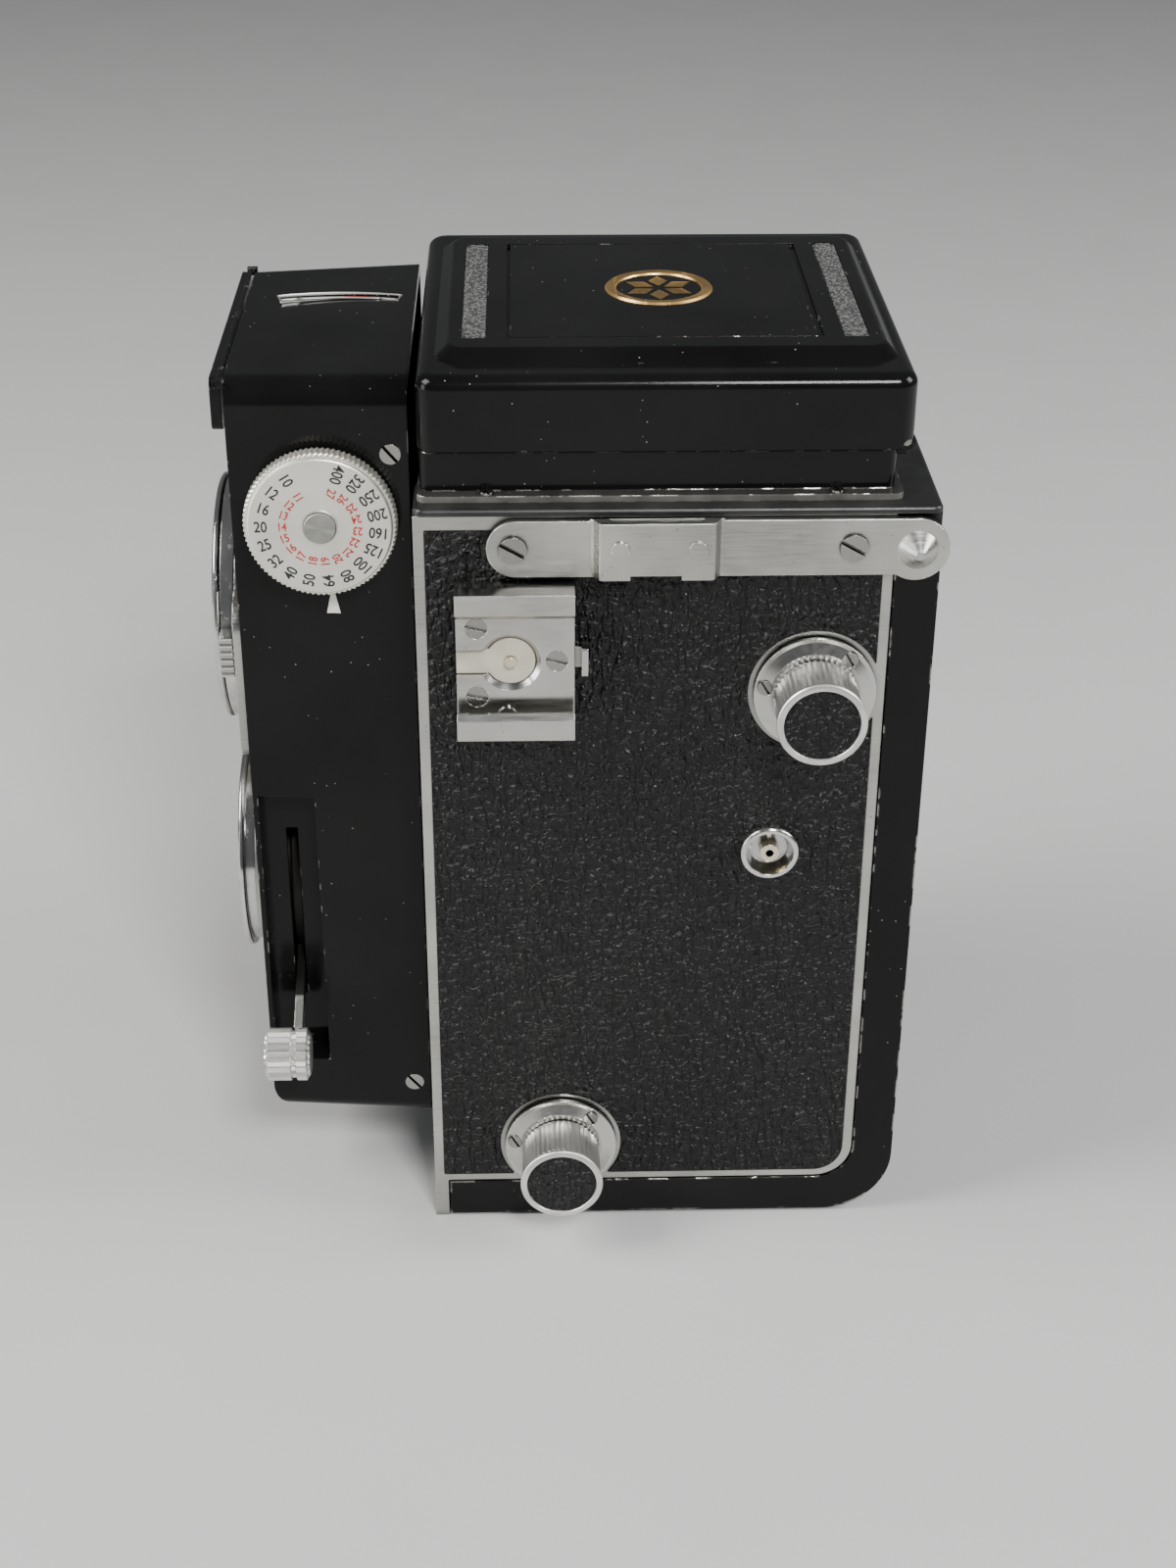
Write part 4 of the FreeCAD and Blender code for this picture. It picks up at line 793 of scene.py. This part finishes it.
def focusing_grips():
    """Two ribbed grips on the focusing lever's ends, each with a groove round its middle."""
    low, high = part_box("focus_grips")
    front = low.y / MM
    back = high.y / MM
    ribs = FOCUS_GRIP_RADIUS - 0.05
    profile = [(front, 2.4, False), (front, 3.3, False), (front + 0.25, 3.6, True),
               (front + 0.55, ribs, True), (GROOVE_FRONT - 0.2, ribs, True), (GROOVE_FRONT, 3.7, True),
               (GROOVE_BACK, 3.7, True), (GROOVE_BACK + 0.2, ribs, True), (back - 0.55, ribs, True),
               (back - 0.25, 3.6, True), (back, 3.2, False), (back, 2.0, False)]
    places = {"left_focusing_grip": (high.x / MM - FOCUS_GRIP_RADIUS, low.z / MM + FOCUS_GRIP_RADIUS),
              "right_focusing_grip": (low.x / MM + FOCUS_GRIP_RADIUS, high.z / MM - FOCUS_GRIP_RADIUS)}
    for name, (x, z) in places.items():
        origin = Vector((x * MM, 0, z * MM))
        mesh = turned_mesh(name, origin, Y_AXIS, profile, FOCUS_GRIP_RIBS, FOCUS_GRIP_RIB_DEPTH)
        finish_piece(name, mesh, KNURLED, "focus_lever")
    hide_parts("focus_grips")


# ---------------------------------------------------------------- lens bezels
FRONT_PLATE_FACE = -65.1


def bezel(node, flange_r, barrel_r, tube_r, bore_r):
    """Lens ring, turned in one piece: tube, barrel, front flange and a bore stepped down to the glass."""
    low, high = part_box(node)
    origin = Vector((0, 0, (low.z + high.z) / 2))
    front = low.y / MM
    back = high.y / MM
    profile = [(back, bore_r), (back, tube_r), (FRONT_PLATE_FACE, tube_r), (FRONT_PLATE_FACE, barrel_r),
               (front + 1.0, barrel_r), (front + 1.0, flange_r - 0.25), (front + 0.75, flange_r),
               (front + 0.3, flange_r), (front, flange_r - 0.3), (front, bore_r + 2.6),
               (front + 0.35, bore_r + 2.3), (front + 0.4, bore_r + 1.5), (front + 1.6, bore_r + 1.1),
               (front + 1.7, bore_r + 0.5), (front + 2.8, bore_r + 0.4), (front + 3.0, bore_r)]
    mesh = turned_mesh(node + "_turned", origin, Y_AXIS, unribbed(profile), around=128)
    piece = finish_piece(node + "_turned", without_ends(mesh), CHROME, "front_standard")
    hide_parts(node)


# ---------------------------------------------------------------- lid badge and strips
BADGE = Vector((0, -1.2 * MM, 0))
BADGE_RING = ((0, 6.3), (0.24, 6.45), (0.36, 7.1), (0.32, 7.7), (0, 8.0))
PETALS = 6
PETAL_CORNERS = ((0.9, 0.0), (3.2, 1.45), (5.5, 0.0), (3.2, -1.45))
STRIP_FRONTS = {"front_strip": -30.1, "rear_strip": 23.8}
STRIP_HALF_LENGTH = 21.9


def slab_mesh(name, half, y0, y1, z0, z1):
    """Flat bar across the lid with rounded edges."""
    work = bmesh.new()
    bmesh.ops.create_cube(work, size=1)
    for vertex in work.verts:
        vertex.co.x *= 2 * half * MM
        vertex.co.y = (y0 + y1) / 2 * MM + vertex.co.y * (y1 - y0) * MM
        vertex.co.z = (z0 + z1) / 2 * MM + vertex.co.z * (z1 - z0) * MM
    upright = [e for e in work.edges if abs(e.verts[0].co.z - e.verts[1].co.z) > 0.1 * MM]
    bmesh.ops.bevel(work, geom=upright, offset=0.6 * MM, segments=5, affect="EDGES")
    rim = [e for e in work.edges if min(e.verts[0].co.z, e.verts[1].co.z) > z1 * MM - 1e-6]
    bmesh.ops.bevel(work, geom=rim, offset=0.12 * MM, segments=2, affect="EDGES")
    mesh = bpy.data.meshes.new(name)
    work.to_mesh(mesh)
    work.free()
    return mesh


def badge_ring(top):
    """Raised gilt ring on the lid, whose top is at that height in metres."""
    profile = unribbed([(top / MM + height, radius) for height, radius in BADGE_RING])
    mesh = turned_mesh("badge_ring", BADGE, Z_AXIS, profile, around=96)
    finish_piece("badge_ring", without_ends(mesh), GOLD, "hood_lid")


def badge_petals(top):
    """Plain ornament of pointed petals inside the ring, each a low pyramid."""
    petals = bmesh.new()
    for step in range(PETALS):
        turn = Matrix.Rotation(math.radians(360 / PETALS * step), 4, "Z")
        corners = []
        for x, y in PETAL_CORNERS:
            corners.append(petals.verts.new(BADGE + turn @ Vector((x * MM, y * MM, top + 0.04 * MM))))
        crown = petals.verts.new(BADGE + turn @ Vector((PETAL_CORNERS[1][0] * MM, 0, top + 0.30 * MM)))
        for index in range(4):
            petals.faces.new((corners[index], corners[(index + 1) % 4], crown))
    mesh = bpy.data.meshes.new("badge_petals")
    petals.to_mesh(mesh)
    petals.free()
    finish_piece("badge_petals", mesh, GOLD, "hood_lid", 10)


def lid_details():
    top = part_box("hood_lid")[1].z
    badge_ring(top)
    badge_petals(top)
    for name, y in STRIP_FRONTS.items():
        mesh = slab_mesh(name, STRIP_HALF_LENGTH, y + 0.08, y + 3.52, top / MM - 0.42, top / MM + 0.02)
        finish_piece(name, mesh, GRIP_STRIP, "hood_lid")


# ---------------------------------------------------------------- floor
FLOOR_HALF = 3           # metres


def make_floor():
    points = [(FLOOR_HALF * x, FLOOR_HALF * y, 0) for x, y in ((-1, -1), (1, -1), (1, 1), (-1, 1))]
    floor = bpy.data.objects.new("floor", mesh_from("floor", points, [(0, 1, 2, 3)]))
    bpy.context.scene.collection.objects.link(floor)
    r = Recipe("floor_paint", (0.52, 0.52, 0.515), 0.0, 0.6)
    r.into("Roughness", r.remap(r.noise(30, 3.0), 0.3, 0.7, 0.55, 0.7))
    floor.data.materials.append(r.material)


make_camera()
make_studio()
make_floor()
dress_cad_nodes()
seamless_door()
film_knob("upper_knob", "upper_knob")
film_knob("lower_knob", "lower_knob")
film_speed_dial()
dial_index()
window_rim()
focusing_grips()
bezel("viewing_lens_bezel", flange_r=19.2, barrel_r=17.4, tube_r=16.0, bore_r=14.4)
bezel("taking_lens_bezel", flange_r=17.5, barrel_r=16.4, tube_r=14.5, bore_r=12.6)
lid_details()
